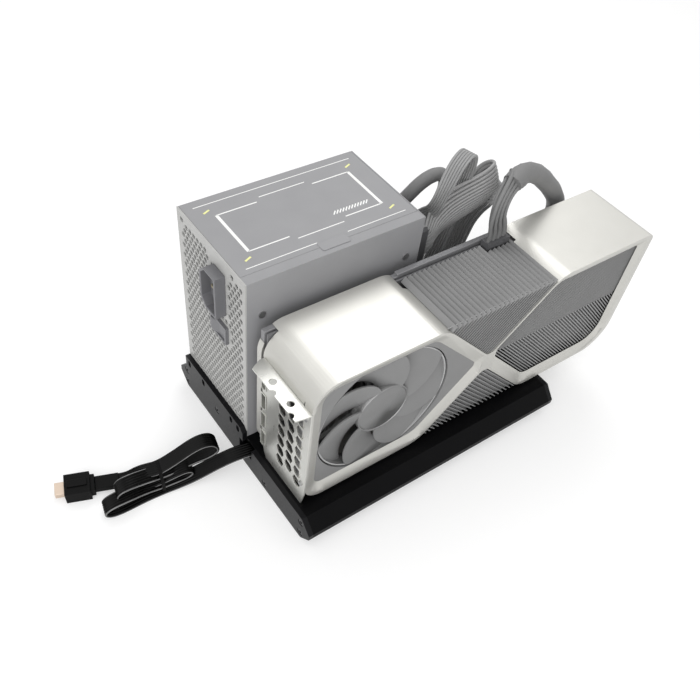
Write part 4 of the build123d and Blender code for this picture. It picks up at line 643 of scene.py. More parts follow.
    def panel(self) -> None:
        """Makes the pierced inlet panel."""
        mesh = bpy.data.meshes.new("vent_points")
        mesh.from_pydata(self.vent_places(), [], [])
        piece = new_object("supply_inlet_panel", mesh)
        width, height, t = self.size_mm[1], self.size_mm[2], self.sheet_mm
        values: dict[str, Any] = {
            "Sheet Size": (t * MM, width * MM, height * MM),
            "Sheet Centre": tuple(spot(t / 2, width / 2, height / 2)),
            "Hole Radius": self.vent_radius_mm * MM,
            "Hole Depth": self.cutter_sheets * t * MM,
            "Finish": PANEL_PAINT_PAINTED_LIGHT.material(),
        }
        for part, (y, z, wide, tall) in zip(("Inlet", "Switch"), self.cut_outs_mm):
            values[part + " Size"] = (self.cutter_sheets * t * MM, wide * MM, tall * MM)
            values[part + " Centre"] = tuple(spot(t / 2, y, z))
        run_tree(piece, self.vent_tree(), values)
        # The panel takes the lighter copy of the grey paint, which is painted light
        settle(piece, PANEL_PAINT_PAINTED_LIGHT, BODY, "psu_inlet_panel")

    def stroke(self, bm: bmesh.types.BMesh, start: tuple[float, float], end: tuple[float, float],
               wide: float) -> None:
        """Adds a flat printed stroke on the supply's top.

        Args:
            bm: Mesh that takes it.
            start: X and Y of one end, in millimetres.
            end: X and Y of the other end.
            wide: Stroke's width.
        """
        a, b = Vector((*start, 0.0)), Vector((*end, 0.0))
        side = (b - a).normalized().cross(Vector((0, 0, 1))) * wide / 2
        top = self.size_mm[2]
        corners = [a - side, b - side, b + side, a + side]
        low = [bm.verts.new(spot(c.x, c.y, top)) for c in corners]
        high = [bm.verts.new(spot(c.x, c.y, top + self.print_mm)) for c in corners]
        bm.faces.new(high)
        bm.faces.new(list(reversed(low)))
        for i in range(4):
            j = (i + 1) % 4
            bm.faces.new([low[i], low[j], high[j], high[i]])

    def printed(self, name: str, bm: bmesh.types.BMesh) -> bpy.types.Object:
        """Turns printed strokes to a piece, with its faces outwards."""
        bmesh.ops.recalc_face_normals(bm, faces=bm.faces)
        return new_object(name, mesh_from(bm, name))

    def screen_print(self) -> None:
        """Prints plain brackets, rules and a hatch in white, with small yellow dashes."""
        white = bmesh.new()
        low, high = self.bracket_rows_mm
        upright, arm = self.bracket_widths_mm
        for x, reach in self.bracket_ends_mm:
            self.stroke(white, (x, low), (x, high), upright)
            for y in (low, high):
                self.stroke(white, (x, y), (x + reach, y), arm)
        for rule in self.rules_mm:
            self.stroke(white, *rule)
        settle(self.printed("cover_white_print", white), WHITE_PRINT, BODY)
        yellow = bmesh.new()
        along, across = self.dash_half_mm
        for x, y in self.dashes_mm:
            self.stroke(yellow, (x - along, y - across), (x + along, y + across), self.dash_width_mm)
        settle(self.printed("cover_yellow_print", yellow), YELLOW_PRINT, BODY)
        self.hatch()

    def hatch(self) -> None:
        """Prints a short row of slanting dashes by repeating one."""
        bm = bmesh.new()
        self.stroke(bm, *self.hatch_mm)
        piece = self.printed("cover_hatch_print", bm)
        run_tree(piece, row_tree(), {"Count": self.hatch_count, "Step": (self.hatch_step_mm * MM, 0.0, 0.0),
                                     "Finish": WHITE_PRINT.material()})
        settle(piece, WHITE_PRINT, BODY)


@dataclass
class FanRotor:
    """Ringed fan rotor with swept blades round a capped hub."""

    name: str
    node: str
    body: str
    centre_mm: Triple
    front_mm: float
    facing: float
    hub_mm: float = 21.5
    tip_mm: float = 53.6
    ring_mm: tuple[float, float] = (53.2, 54.5)
    depth_mm: float = 8.2
    blades: int = 7
    sweep_deg: float = 34.0
    sweep_power: float = 1.4
    root_share: float = 1.04
    tip_share: float = 0.98
    root_inset_mm: float = 1.0
    blade_front_mm: float = 1.0
    blade_room_mm: float = 2.2
    camber_power: float = 1.5
    blade_t_mm: float = 1.1
    grid: tuple[int, int] = (10, 9)
    turns: int = 72

    def point(self, radius: float, angle: float, depth: float) -> Vector:
        """Places a point by its radius, angle and depth behind the front, about the rotor's own axis."""
        return Vector((radius * math.cos(angle), self.facing * depth, radius * math.sin(angle))) * MM

    def blade(self) -> bpy.types.Mesh:
        """Makes one swept and cambered blade about the rotor's axis."""
        bm = bmesh.new()
        across, along = self.grid
        root = self.hub_mm - self.root_inset_mm
        pitch = 2 * math.pi / self.blades
        grid = []
        for i in range(along + 1):
            u = i / along
            radius = root + (self.tip_mm - root) * u
            chord = pitch * (self.root_share + (self.tip_share - self.root_share) * u)
            lead = math.radians(self.sweep_deg) * u ** self.sweep_power
            row = []
            for j in range(across + 1):
                v = j / across
                depth = self.blade_front_mm + (self.depth_mm - self.blade_room_mm) * v ** self.camber_power
                row.append(bm.verts.new(self.point(radius, lead + chord * v, depth)))
            grid.append(row)
        for i in range(along):
            for j in range(across):
                bm.faces.new([grid[i][j], grid[i + 1][j], grid[i + 1][j + 1], grid[i][j + 1]])
        bmesh.ops.recalc_face_normals(bm, faces=bm.faces)
        bmesh.ops.solidify(bm, geom=bm.faces, thickness=self.blade_t_mm * MM)
        bmesh.ops.recalc_face_normals(bm, faces=bm.faces)
        return mesh_from(bm, self.name + "_blade", 50.0)

    def lathe(self, name: str, profile: Sequence[tuple[float, float]], closed: bool) -> bpy.types.Mesh:
        """Turns a profile of radius and depth round the rotor's axis.

        Args:
            name: Mesh's name.
            profile: Points of radius and depth, in millimetres.
            closed: Whether the profile closes on itself.

        Returns:
            The turned mesh, about the rotor's own axis through the part's origin.
        """
        bm = bmesh.new()
        rings = []
        for k in range(self.turns):
            angle = 2 * math.pi * k / self.turns
            rings.append([bm.verts.new(self.point(max(r, 0.001), angle, d)) for r, d in profile])
        count = len(profile) if closed else len(profile) - 1
        for k in range(self.turns):
            here, there = rings[k], rings[(k + 1) % self.turns]
            for i in range(count):
                j = (i + 1) % len(profile)
                bm.faces.new([here[i], here[j], there[j], there[i]])
        bmesh.ops.remove_doubles(bm, verts=bm.verts, dist=POLE_M)
        bmesh.ops.recalc_face_normals(bm, faces=bm.faces)
        return mesh_from(bm, name, 40.0)

    def tree(self) -> bpy.types.NodeTree:
        """Builds the tree that repeats a blade about its axis and carries the set to its place."""
        found = bpy.data.node_groups.get("blade_ring")
        if found is not None:
            return found
        kinds = {"Blades": "NodeSocketInt", "Step": "NodeSocketFloat", "Centre": "NodeSocketVector",
                 "Finish": "NodeSocketMaterial"}
        tree, given, result = new_tree("blade_ring", kinds)
        line = add_node(tree, "GeometryNodeMeshLine", None,
                        {"Count": given.outputs["Blades"], "Offset": (0.0, 0.0, 0.0)})
        index = add_node(tree, "GeometryNodeInputIndex")
        angle = add_node(tree, "ShaderNodeMath", {"operation": "MULTIPLY"},
                         {0: index.outputs[0], 1: given.outputs["Step"]})
        turn = add_node(tree, "ShaderNodeCombineXYZ", None, {"Y": angle.outputs[0]})
        copies = add_node(tree, "GeometryNodeInstanceOnPoints", None,
                          {"Points": line.outputs[0], "Instance": given.outputs["Geometry"],
                           "Rotation": turn.outputs[0]})
        placed = add_node(tree, "GeometryNodeTransform", None,
                          {"Geometry": copies.outputs[0], "Translation": given.outputs["Centre"]})
        end_tree(tree, placed.outputs[0], given.outputs["Finish"], result)
        return tree

    def build(self, cap: Finish) -> None:
        """Makes the blades, ring and hub.

        Args:
            cap: Finish of the hub's cap.
        """
        axis = spot(self.centre_mm[0], self.front_mm, self.centre_mm[2])
        blades = new_object(self.name + "_blades", self.blade())
        run_tree(blades, self.tree(), {"Blades": self.blades, "Step": 2 * math.pi / self.blades,
                                       "Centre": tuple(axis), "Finish": FAN_PLASTIC.material()})
        smooth_by_angle(blades.data, 50.0)
        settle(blades, FAN_PLASTIC, self.body, self.node)
        inner, outer = self.ring_mm
        ring = [(inner, 0.5), (outer - 0.4, 0.3), (outer, 0.7), (outer, self.depth_mm - 0.4),
                (inner, self.depth_mm - 0.4)]
        hub = [(0.0, 0.9), (self.hub_mm - 2.2, 0.35), (self.hub_mm - 1.6, 0.75), (self.hub_mm - 1.1, 0.1),
               (self.hub_mm - 0.4, 0.1), (self.hub_mm, 0.6), (self.hub_mm, self.depth_mm),
               (0.0, self.depth_mm)]
        for label, profile, closed, finish in (("ring", ring, True, RING_METAL), ("hub", hub, False, cap)):
            mesh = self.lathe(self.name + "_" + label, profile, closed)
            for vert in mesh.vertices:
                vert.co += axis
            settle(new_object(self.name + "_" + label, mesh), finish, self.body)


@dataclass
class GraphicsCard:
    """Silver-framed card: crossing straps, fins, two fans, bracket and board."""

    dresser: Dresser
    front_fan: FanRotor = field(default_factory=lambda: FanRotor(
        "front_fan", "front_fan_rotor", "front_rotor", (67.5, 0.0, 63.0), -67.9, 1.0))
    rear_fan: FanRotor = field(default_factory=lambda: FanRotor(
        "rear_fan", "rear_fan_rotor", "rear_rotor", (251.0, 0.0, 63.0), -13.6, -1.0))
    crossing_mm: tuple[float, float] = (160.0, 63.0)
    arm_half_mm: float = 6.0
    fin_reach_mm: float = 57.2
    fin_pitch_mm: float = 3.0
    fin_t_mm: float = 0.8
    fin_front_mm: float = -71.2
    upper_back_mm: float = -16.2
    lower_back_mm: float = -24.0
    pocket_mm: Triple = (23.0, 9.4, 20.0)
    pocket_centre_mm: Triple = (196.0, -18.8, 115.0)
    plug_top_mm: float = 124.5
    right_step_mm: float = 3.04
    web_mm: tuple[float, float] = (2.5, 0.6)
    right_web_mm: float = 7.5
    corner_mm: Triple = (3.2, 122.0, 20.0)
    corner_wall_mm: float = 2.2
    corner_run_mm: tuple[float, float] = (-63.0, -16.4)
    corner_ease_mm: float = 0.1
    corner_steps: int = 16
    web_margin_mm: float = 1.0
    fin_room_mm: float = 2.0
    right_stack_mm: tuple[float, float] = (180.0, 303.0)

    def build(self) -> None:
        """Dresses the card's solids and makes its fans."""
        for name, finish, edge_mm in (("card_frame", SILVER, 0.6), ("back_plate", BACK_METAL, 0.5),
                                      ("slot_bracket", STAINLESS, 0.15), ("ports", STAINLESS, 0.15),
                                      ("front_fan_frame", FAN_PLASTIC, 0.4),
                                      ("rear_fan_frame", FAN_PLASTIC, 0.4)):
            self.dresser.soften(name, finish, edge_mm)
        self.dresser.paint(FIN_METAL, "inner_fins")
        self.right_stack()
        self.dresser.paint(ZINC, "bracket_screws")
        self.dresser.paint(GREY_BOARD, "card_board")
        self.dresser.paint(PACKAGE, "graphics_chip")
        self.dresser.paint(COPPER, "cold_plate")
        self.dresser.paint(NYLON, "power_socket")
        self.fin_stack("upper_fins", 1.0, self.upper_back_mm)
        self.fin_stack("lower_fins", -1.0, self.lower_back_mm)
        self.front_fan.build(HUB_CAP)
        self.rear_fan.build(FAN_PLASTIC)

    def fin_tree(self) -> bpy.types.NodeTree:
        """Builds the tree that repeats a slanting fin, each shorter than the last, clear of the plug."""
        found = bpy.data.node_groups.get("fin_stack")
        if found is not None:
            return found
        kinds = {"Count": "NodeSocketInt", "Start": "NodeSocketVector", "Step": "NodeSocketVector",
                 "Longest": "NodeSocketFloat", "Shrink": "NodeSocketFloat", "Depth": "NodeSocketFloat",
                 "Thickness": "NodeSocketFloat", "Tilt": "NodeSocketFloat",
                 "Pocket Size": "NodeSocketVector", "Pocket Centre": "NodeSocketVector",
                 "Finish": "NodeSocketMaterial"}
        tree, given, result = new_tree("fin_stack", kinds)
        line = add_node(tree, "GeometryNodeMeshLine", None,
                        {"Count": given.outputs["Count"], "Start Location": given.outputs["Start"],
                         "Offset": given.outputs["Step"]})
        cube = add_node(tree, "GeometryNodeMeshCube", None, {"Size": (1.0, 1.0, 1.0)})
        slab = add_node(tree, "GeometryNodeTransform", None,
                        {"Geometry": cube.outputs[0], "Translation": (0.5, 0.0, 0.0)})
        index = add_node(tree, "GeometryNodeInputIndex")
        lost = add_node(tree, "ShaderNodeMath", {"operation": "MULTIPLY"},
                        {0: index.outputs[0], 1: given.outputs["Shrink"]})
        length = add_node(tree, "ShaderNodeMath", {"operation": "SUBTRACT"},
                          {0: given.outputs["Longest"], 1: lost.outputs[0]})
        scale = add_node(tree, "ShaderNodeCombineXYZ", None,
                         {"X": length.outputs[0], "Y": given.outputs["Depth"],
                          "Z": given.outputs["Thickness"]})
        turn = add_node(tree, "ShaderNodeCombineXYZ", None, {"Y": given.outputs["Tilt"]})
        copies = add_node(tree, "GeometryNodeInstanceOnPoints", None,
                          {"Points": line.outputs[0], "Instance": slab.outputs[0],
                           "Rotation": turn.outputs[0], "Scale": scale.outputs[0]})
        real = add_node(tree, "GeometryNodeRealizeInstances", None, {0: copies.outputs[0]})
        pocket = add_node(tree, "GeometryNodeMeshCube", None, {"Size": given.outputs["Pocket Size"]})
        placed = add_node(tree, "GeometryNodeTransform", None,
                          {"Geometry": pocket.outputs[0], "Translation": given.outputs["Pocket Centre"]})
        cleared = add_node(tree, "GeometryNodeMeshBoolean",
                           {"operation": "DIFFERENCE", "solver": "MANIFOLD"},
                           {"Mesh 1": real.outputs[0], "Mesh 2": placed.outputs[0]})
        both = add_node(tree, "GeometryNodeJoinGeometry")
        tree.links.new(cleared.outputs[0], both.inputs[0])
        tree.links.new(given.outputs["Geometry"], both.inputs[0])
        end_tree(tree, both.outputs[0], given.outputs["Finish"], result)
        return tree

    def corner(self) -> None:
        """Adds the rounded corner where the frame's top bends down to the slot bracket."""
        left, top, radius = self.corner_mm
        outer, inner = radius - self.corner_ease_mm, radius - self.corner_wall_mm
        near, far = self.corner_run_mm
        bm = bmesh.new()
        rings = []
        for step in range(self.corner_steps + 1):
            turn = math.pi / 2 * (1.0 + step / self.corner_steps)
            ring = []
            for y, reach in ((near, outer), (far, outer), (far, inner), (near, inner)):
                x, z = left + radius + reach * math.cos(turn), top - radius + reach * math.sin(turn)
                ring.append(bm.verts.new(spot(x, y, z)))
            rings.append(ring)
        bridge(bm, rings)
        bmesh.ops.recalc_face_normals(bm, faces=bm.faces)
        settle(new_object("card_frame_corner", mesh_from(bm, "card_frame_corner", SHARP_DEG)), SILVER, BODY)

    def web(self, name: str, corners: Sequence[tuple[float, float]], inset_mm: float) -> bpy.types.Mesh:
        """Makes the thin sheet that joins the fins of a stack behind their front edges.

        Args:
            name: Mesh's name.
            corners: X and Z of the sheet's outline, in millimetres.
            inset_mm: How far the sheet lies behind the fins' front edges.

        Returns:
            The sheet's mesh.
        """
        near, thick = self.fin_front_mm + inset_mm, self.web_mm[1]
        bm = bmesh.new()
        for x, z in corners:
            for y in (near, near + thick):
                bm.verts.new(spot(x, y, z))
        bmesh.ops.convex_hull(bm, input=bm.verts)
        return mesh_from(bm, name)

    def fin_stack(self, node: str, side: float, back_mm: float) -> None:
        """Makes the close fins above or below the crossing.

        Args:
            node: Solid that they stand for.
            side: 1 above the crossing and -1 below it.
            back_mm: Where they end towards the supply.
        """
        step = self.fin_pitch_mm / math.sqrt(2)
        x, z = self.crossing_mm
        reach = self.fin_reach_mm - self.arm_half_mm
        count = int((reach - self.fin_room_mm) / step)
        inset = self.web_margin_mm
        foot, end = z + side * (self.arm_half_mm + inset), z + side * (self.fin_reach_mm - inset)
        web = self.web(node + "_web", [(x, foot), (x - reach + inset, end), (x + reach - inset, end)],
                       self.web_mm[0])
        middle = (self.fin_front_mm + back_mm) / 2
        piece = new_object(node + "_stack", web)
        run_tree(piece, self.fin_tree(), {
            "Count": count,
            "Start": tuple(spot(x - step / 2, middle, z + side * (self.arm_half_mm + step / 2))),
            "Step": (-step * MM, 0.0, side * step * MM),
            "Longest": (reach - step / 2) * math.sqrt(2) * MM,
            "Shrink": step * math.sqrt(2) * MM,
            "Depth": (back_mm - self.fin_front_mm) * MM,
            "Thickness": self.fin_t_mm * MM,
            "Tilt": -side * math.pi / 4,
            "Pocket Size": tuple(Vector(self.pocket_mm) * MM),
            "Pocket Centre": tuple(spot(*self.pocket_centre_mm)),
            "Finish": FIN_METAL.material(),
        })
        settle(piece, FIN_METAL, BODY, node)

    def right_stack(self) -> None:
        """Makes the right opening's fins, twice as many as the solid has, by repeating its set."""
        piece = new_object("right_fins_stack", self.dresser.nodes["right_fins"].data.copy())
        run_tree(piece, row_tree(), {"Count": 2, "Step": (self.right_step_mm * MM, 0.0, 0.0),
                                     "Finish": FIN_METAL.material()})
        settle(piece, FIN_METAL, BODY, "right_fins")
        corners = [(v.co / MM + ORIGIN_MM) for v in piece.data.vertices]
        low, high = self.right_stack_mm
        outline = [(c.x, c.z) for c in corners if low < c.x < high]
        web = self.web("right_fins_web", outline, self.right_web_mm)
        settle(new_object("right_fins_web", web), FIN_METAL, BODY)

    def plug(self) -> None:
        """Makes the plug on the card's socket, seated down to the height that shows over the fins."""
        bm = merged(self.dresser.nodes["card_lead_plug"].data)
        top = spot(0.0, 0.0, self.plug_top_mm).z
        for vert in bm.verts:
            vert.co.z = min(vert.co.z, top)
        piece = new_object("card_lead_plug_low", mesh_from(bm, "card_lead_plug_low"))
        settle(piece, NYLON, BODY, "card_lead_plug")


def spline_points(name: str, route: Sequence[Vector]) -> list[Vector]:
    """Reads the smooth line that a route's points steer.

    Args:
        name: Curve's name.
        route: Points that steer it, in metres.

    Returns:
        Points along the smooth line.
    """
    curve = bpy.data.curves.new(name + "_route", "CURVE")
    curve.dimensions = "3D"
    curve.resolution_u = ROUTE_STEPS
    spline = curve.splines.new("NURBS")
    spline.points.add(len(route) - 1)
    for point, place in zip(spline.points, route):
        point.co = (*place, 1.0)
    spline.order_u = ROUTE_ORDER
    spline.use_endpoint_u = True
    holder = bpy.data.objects.new(name + "_route", curve)
    bpy.context.scene.collection.objects.link(holder)
    ready = holder.evaluated_get(bpy.context.evaluated_depsgraph_get())
    mesh = bpy.data.meshes.new_from_object(ready)
    points = [v.co.copy() for v in mesh.vertices]
    bpy.data.objects.remove(holder)
    bpy.data.meshes.remove(mesh)
    return points


def line_length(points: Sequence[Vector]) -> float:
    """Adds up the length of a line of points."""
    return sum((b - a).length for a, b in zip(points, points[1:]))


def blend(values: Sequence[Vector], share: float) -> Vector:
    """Reads a row of evenly spaced values at a share of its length.

    Args:
        values: Two or more values.
        share: Place along the row, from 0 to 1.

    Returns:
        The value between its two neighbours.
    """
    place = share * (len(values) - 1)
    index = min(int(place), len(values) - 2)
    return values[index].lerp(values[index + 1], place - index)


@dataclass(frozen=True)
class Core:
    """One round strand of a lead: its place in the section, its radius and the share that it covers."""

    shift_mm: float
    lift_mm: float
    radius_mm: float
    first: float = 0.0
    last: float = 1.0
    finish: int = 0


@dataclass(frozen=True)
class Station:
    """One step along a lead: its share of the line, its point, its two directions and its spread."""

    share: float
    point: Vector
    side: Vector
    face: Vector
    spread: Vector


@dataclass
class Ribbon:
    """Lead of parallel strands that follows one smooth line, and may twist and gather along it."""

    name: str
    route: Sequence[Vector]
    cores: Sequence[Core]
    across: Sequence[Vector]
    spread: Sequence[Vector] = (Vector((1.0, 1.0)), Vector((1.0, 1.0)))
    sides: int = 10

    def stations(self, points: Sequence[Vector]) -> list[Station]:
        """Finds the directions of the section at each step of the line."""
        total = line_length(points)
        gone = 0.0
        stations = []
        for i, point in enumerate(points):
            before, after = points[max(i - 1, 0)], points[min(i + 1, len(points) - 1)]
            gone += (point - points[max(i - 1, 0)]).length
            share = min(gone / total, 1.0)
            tangent = (after - before).normalized()
            across = blend(self.across, share)
            side = (across - tangent * across.dot(tangent)).normalized()
            stations.append(Station(share, point, side, tangent.cross(side), blend(self.spread, share)))
        return stations

    def strand(self, bm: bmesh.types.BMesh, stations: Sequence[Station], core: Core) -> None:
        """Adds one round strand.

        Args:
            bm: Mesh that takes it.
            stations: Steps along the lead.
            core: Strand to add.
        """
        rings = []
        for step in stations:
            if not core.first <= step.share <= core.last:
                continue
            ring = []
            for k in range(self.sides):
                angle = 2 * math.pi * k / self.sides
                shift = core.shift_mm * step.spread.x + core.radius_mm * math.cos(angle)
                lift = core.lift_mm * step.spread.y + core.radius_mm * math.sin(angle)
                ring.append(bm.verts.new(step.point + (step.side * shift + step.face * lift) * MM))
            rings.append(ring)
        bridge(bm, rings, core.finish)

    def build(self) -> tuple[bpy.types.Object, list[Vector]]:
        """Makes the lead's mesh.

        Returns:
            The new object and the points of its line.
        """
        points = spline_points(self.name, self.route)
        stations = self.stations(points)
        bm = bmesh.new()
        for core in self.cores:
            self.strand(bm, stations, core)
        bmesh.ops.recalc_face_normals(bm, faces=bm.faces)
        return new_object(self.name, mesh_from(bm, self.name, 60.0)), points


def side_by_side(count: int, pitch: float, radius: float, bow: float = 0.0) -> list[Core]:
    """Lays strands in a row.

    Args:
        count: Number of strands.
        pitch: Distance between them, in millimetres.
        radius: Radius of a strand.
        bow: How far the row's middle stands out.

    Returns:
        The strands.
    """
    half = (count - 1) / 2
    return [Core((k - half) * pitch, bow * (1 - ((k - half) / half) ** 2), radius) for k in range(count)]


def directions(*rows: Triple) -> list[Vector]:
    """Turns rows of three numbers to vectors."""
    return [Vector(row) for row in rows]


@dataclass
class PowerLeads:
    """Leads that arch from the supply to the dock's sockets and the card's plug.

    Each is steered by points in millimetres and by the directions of its width at even shares of its length.
    """

    wide_mm: tuple = (
        (157, 16, 110), (163, 17, 110.5), (168, 19.5, 114.5), (174, 21, 120), (183, 20, 128),
        (193, 15, 138), (200, 10.5, 145), (205, 8.5, 149), (209.5, 9, 149.5),
        (212.5, 12.5, 145), (213, 19, 133),
        (212, 27, 110), (211, 32, 80), (208, 35, 46), (207, 35, 15))
    wide_across: tuple = (
        (0, 0, -1), (0.1, 0, -1), (0.45, 0, -0.9), (0.6, 0, -0.8), (0.7, -0.1, -0.7), (1, 0, -0.2),
        (1, 0, 0), (1, 0, 0), (1, 0, 0))
    six_mm: tuple = (
        (157, 33, 116), (161, 33, 117), (164, 30, 121), (165.5, 25, 127), (164, 18.5, 134), (162, 13, 144),
        (162, 9.6, 157), (164.5, 8.8, 167.5), (167.5, 8.2, 176.5), (171, 8, 181.5), (174.3, 8, 183.6),
        (177.8, 8.4, 182.6), (180.5, 9.4, 178.5), (184, 12, 170), (188.5, 17, 158.5), (194, 22.5, 145),
        (197, 26.5, 128), (196.5, 29, 108), (194, 32, 86), (190, 34, 64), (186, 35, 44), (184, 35, 30),
        (184, 35, 15))
    six_across: tuple = (
        (0, 0, -1), (0.5, -0.2, -0.8), (0.9, -0.4, -0.1), (0.5, -0.85, 0), (0.1, -1, 0), (0, -1, 0),
        (0, -1, 0), (0.2, -1, 0), (0.6, -0.8, 0), (1, -0.4, 0), (1, -0.1, 0), (1, 0, 0))
    sleeved_mm: tuple = (
        (157, 56, 112), (162, 55.8, 112.5), (166.5, 53.5, 117.5), (170.5, 50.5, 125.5), (176.6, 49, 132.6),
        (183.8, 48, 137), (191.8, 47, 138.7), (198.9, 46.3, 135.1), (203, 47, 126), (204.5, 50, 106),
        (203, 54, 80), (201, 57, 55), (200, 57, 33), (200, 57, 15))
    card_mm: tuple = (
        (157, 20, 40), (171, 20, 40), (191, 18.5, 37), (214, 16, 32), (238, 14, 31), (260, 12, 38),
        (279, 11, 54), (291, 9.5, 75), (296, 8, 93), (292, 7, 107), (281, 5, 120),
        (264, 2, 135.5), (245, -2, 151),
        (227.5, -6, 161.5), (210, -11, 167), (198, -15, 164), (191.5, -17.5, 154), (191.5, -18.6, 141),
        (195.5, -18.8, 131), (196, -18.8, 124.5))
    card_across: tuple = ((0, 1, 0), (0, 1, 0), (0.3, 1, 0), (1, 0.2, 0), (1, 0, 0))
    card_spread: tuple = (*((0.6, 1.0),) * 7, (0.75, 0.7), (1.0, 0.1))
    wide_strands: tuple = (12, 2.6, 1.35, -4.0)
    wide_width_mm: float = 31.0
    six_strands: tuple = (6, 1.85, 1.0)
    six_width_mm: float = 11.2
    braid_radius_mm: float = 5.2
    sleeve_radius_mm: float = 7.2
    sleeve_end: float = 0.87
    bare_wires: int = 8
    bare_pitch_mm: float = 2.35
    bare_lift_mm: float = 3.4
    bare_radius_mm: float = 1.5
    bare_overlap: float = 0.03

    def lay(self, node: str, route: tuple, cores: list[Core], across: Sequence[Vector],
            finish: Finish, spread: Sequence[Vector] | None = None) -> None:
        """Args:
            node: Solid that it stands for.
            route: Points that steer it, in millimetres.
            cores: Its strands.
            across: Directions of its width along the line.
            finish: Finish of its jacket.
            spread: How far the strands spread along the line.
        """
        ribbon = Ribbon(node + "_strands", [spot(*p) for p in route], cores, across)
        if spread is not None:
            ribbon.spread = spread
        piece, line = ribbon.build()
        settle(piece, finish, BODY, node)

    def build(self) -> None:
        """Makes the four leads."""
        upright = directions((0, 1, 0), (0, 1, 0))
        self.lay("wide_lead", self.wide_mm, side_by_side(*self.wide_strands), directions(*self.wide_across),
                 WIRE_VINYL)
        self.lay("six_wire_lead", self.six_mm, side_by_side(*self.six_strands), directions(*self.six_across),
                 WIRE_VINYL)
        self.lay("sleeved_lead", self.sleeved_mm, [Core(0.0, 0.0, self.braid_radius_mm)], upright,
                 BRAID)
        sleeve = Core(0.0, 0.0, self.sleeve_radius_mm, 0.0, self.sleeve_end)
        middle = (self.bare_wires - 1) / 2
        bare = self.sleeve_end - self.bare_overlap
        wires = [Core((k - middle) * self.bare_pitch_mm, self.bare_lift_mm * (1 - 2 * (k % 2)),
                      self.bare_radius_mm, bare) for k in range(self.bare_wires)]
        self.lay("card_lead", self.card_mm, [sleeve, *wires], directions(*self.card_across),
                 BRAID,
                 [Vector(row) for row in self.card_spread])


@dataclass
class UplinkCable:
    """Flat cable, folded on itself, tied and ended in a small metal-nosed plug.

    The route's points are given along the hank, over the table and across the hank, in millimetres.
    """

    dresser: Dresser
    start_mm: Triple = (-4.0, -5.0, -26.5)
    skew_deg: float = 13.0
    strands: tuple = (6, 2.05, 1.1)
    # The two paler edge strands that paint the cable's bright edge highlights: distance out, lift and
    # radius, in millimetres
    edge_mm: Triple = (5.9, 0.45, 0.55)
    plug_round_mm: float = 0.4
    nose_round_mm: float = 0.25
    route_mm: tuple = (
        (-13, 18.5, 0), (4, 18.5, 0), (22, 13, 0), (38, 5.5, 0), (54, 2.0, -0.5), (64, 1.6, -1.2),
        (80, 1.6, -4), (95, 1.8, -8), (104, 2.6, -9.6), (108.6, 6.6, -10), (104, 11.4, -9.6), (93, 11.4, -7),
        (78, 7.6, -1.5), (64, 4.2, 1.4), (53, 4.2, 3), (44, 4.6, 4.2), (39.6, 8.4, 4.6),
        (44, 12.2, 4.6), (53, 10.2, 4.4),
        (64, 6.8, 4), (76, 6.8, 2.5), (88, 6.4, -0.4), (95, 8, -1.6), (97.4, 11.8, -2), (94, 16.4, -1.8),
        (86, 16.4, 0), (75, 12.8, 3.6), (64, 9.4, 6.5), (52, 9.8, 8), (40, 11.6, 10),
        (28, 12.4, 11), (20.4, 15.4, 11.3), (18.6, 20.4, 11.4),
        (22, 26.4, 11.5), (29, 28.2, 11.4), (38, 25.6, 11), (50, 18.8, 10), (64, 12.2, 9),
        (73, 12.4, 9.1), (80, 10.2, 10), (86.8, 5.7, 10.8), (92.8, 5.6, 11.5))

    def point(self, along: float, height: float, across: float) -> Vector:
        """Places a point of the hank.

        Args:
            along: Distance from the base along the hank, in millimetres.
            height: Height over the table.
            across: Distance across the hank, towards the supply.

        Returns:
            The point in the part's frame, in metres.
        """
        turn = math.radians(self.skew_deg)
        x = self.start_mm[0] - along * math.cos(turn) + across * math.sin(turn)
        y = self.start_mm[1] + along * math.sin(turn) + across * math.cos(turn)
        return spot(x, y, self.start_mm[2] + height)

    def build(self) -> None:
        """Makes the cable and dresses its plug and tie."""
        turn = math.radians(self.skew_deg)
        across = Vector((math.sin(turn), math.cos(turn), 0.0))
        route = [self.point(*p) for p in self.route_mm]
        cores = side_by_side(*self.strands)
        out, lift, radius = self.edge_mm
        # The edge strands take the second finish, which is a painted highlight
        edges = [Core(side * out, lift, radius, finish=1) for side in (-1, 1)]
        piece, line = Ribbon("uplink_flat_cable", route, cores + edges, [across, across]).build()
        piece.data.materials.append(CABLE_VINYL.material())
        piece.data.materials.append(CABLE_EDGE_PAINTED_HIGHLIGHT.material())
        settle(piece, CABLE_VINYL, BODY, "uplink_run", "uplink_hank", "uplink_tail")
        for name in ("uplink_neck", "plug_housing", "plug_latch"):
            self.dresser.soften(name, PLUG_PLASTIC, self.plug_round_mm)
        self.dresser.soften("plug_nose", NOSE_METAL, self.nose_round_mm)
        self.dresser.paint(PLUG_PLASTIC, "uplink_tie")


@dataclass(frozen=True)
class SoftBox:
    """Square lamp: its name, place and aim in millimetres, side in metres and power in watts."""

    name: str
    place_mm: Triple
    aim_mm: Triple
    side_m: float
    watts: float


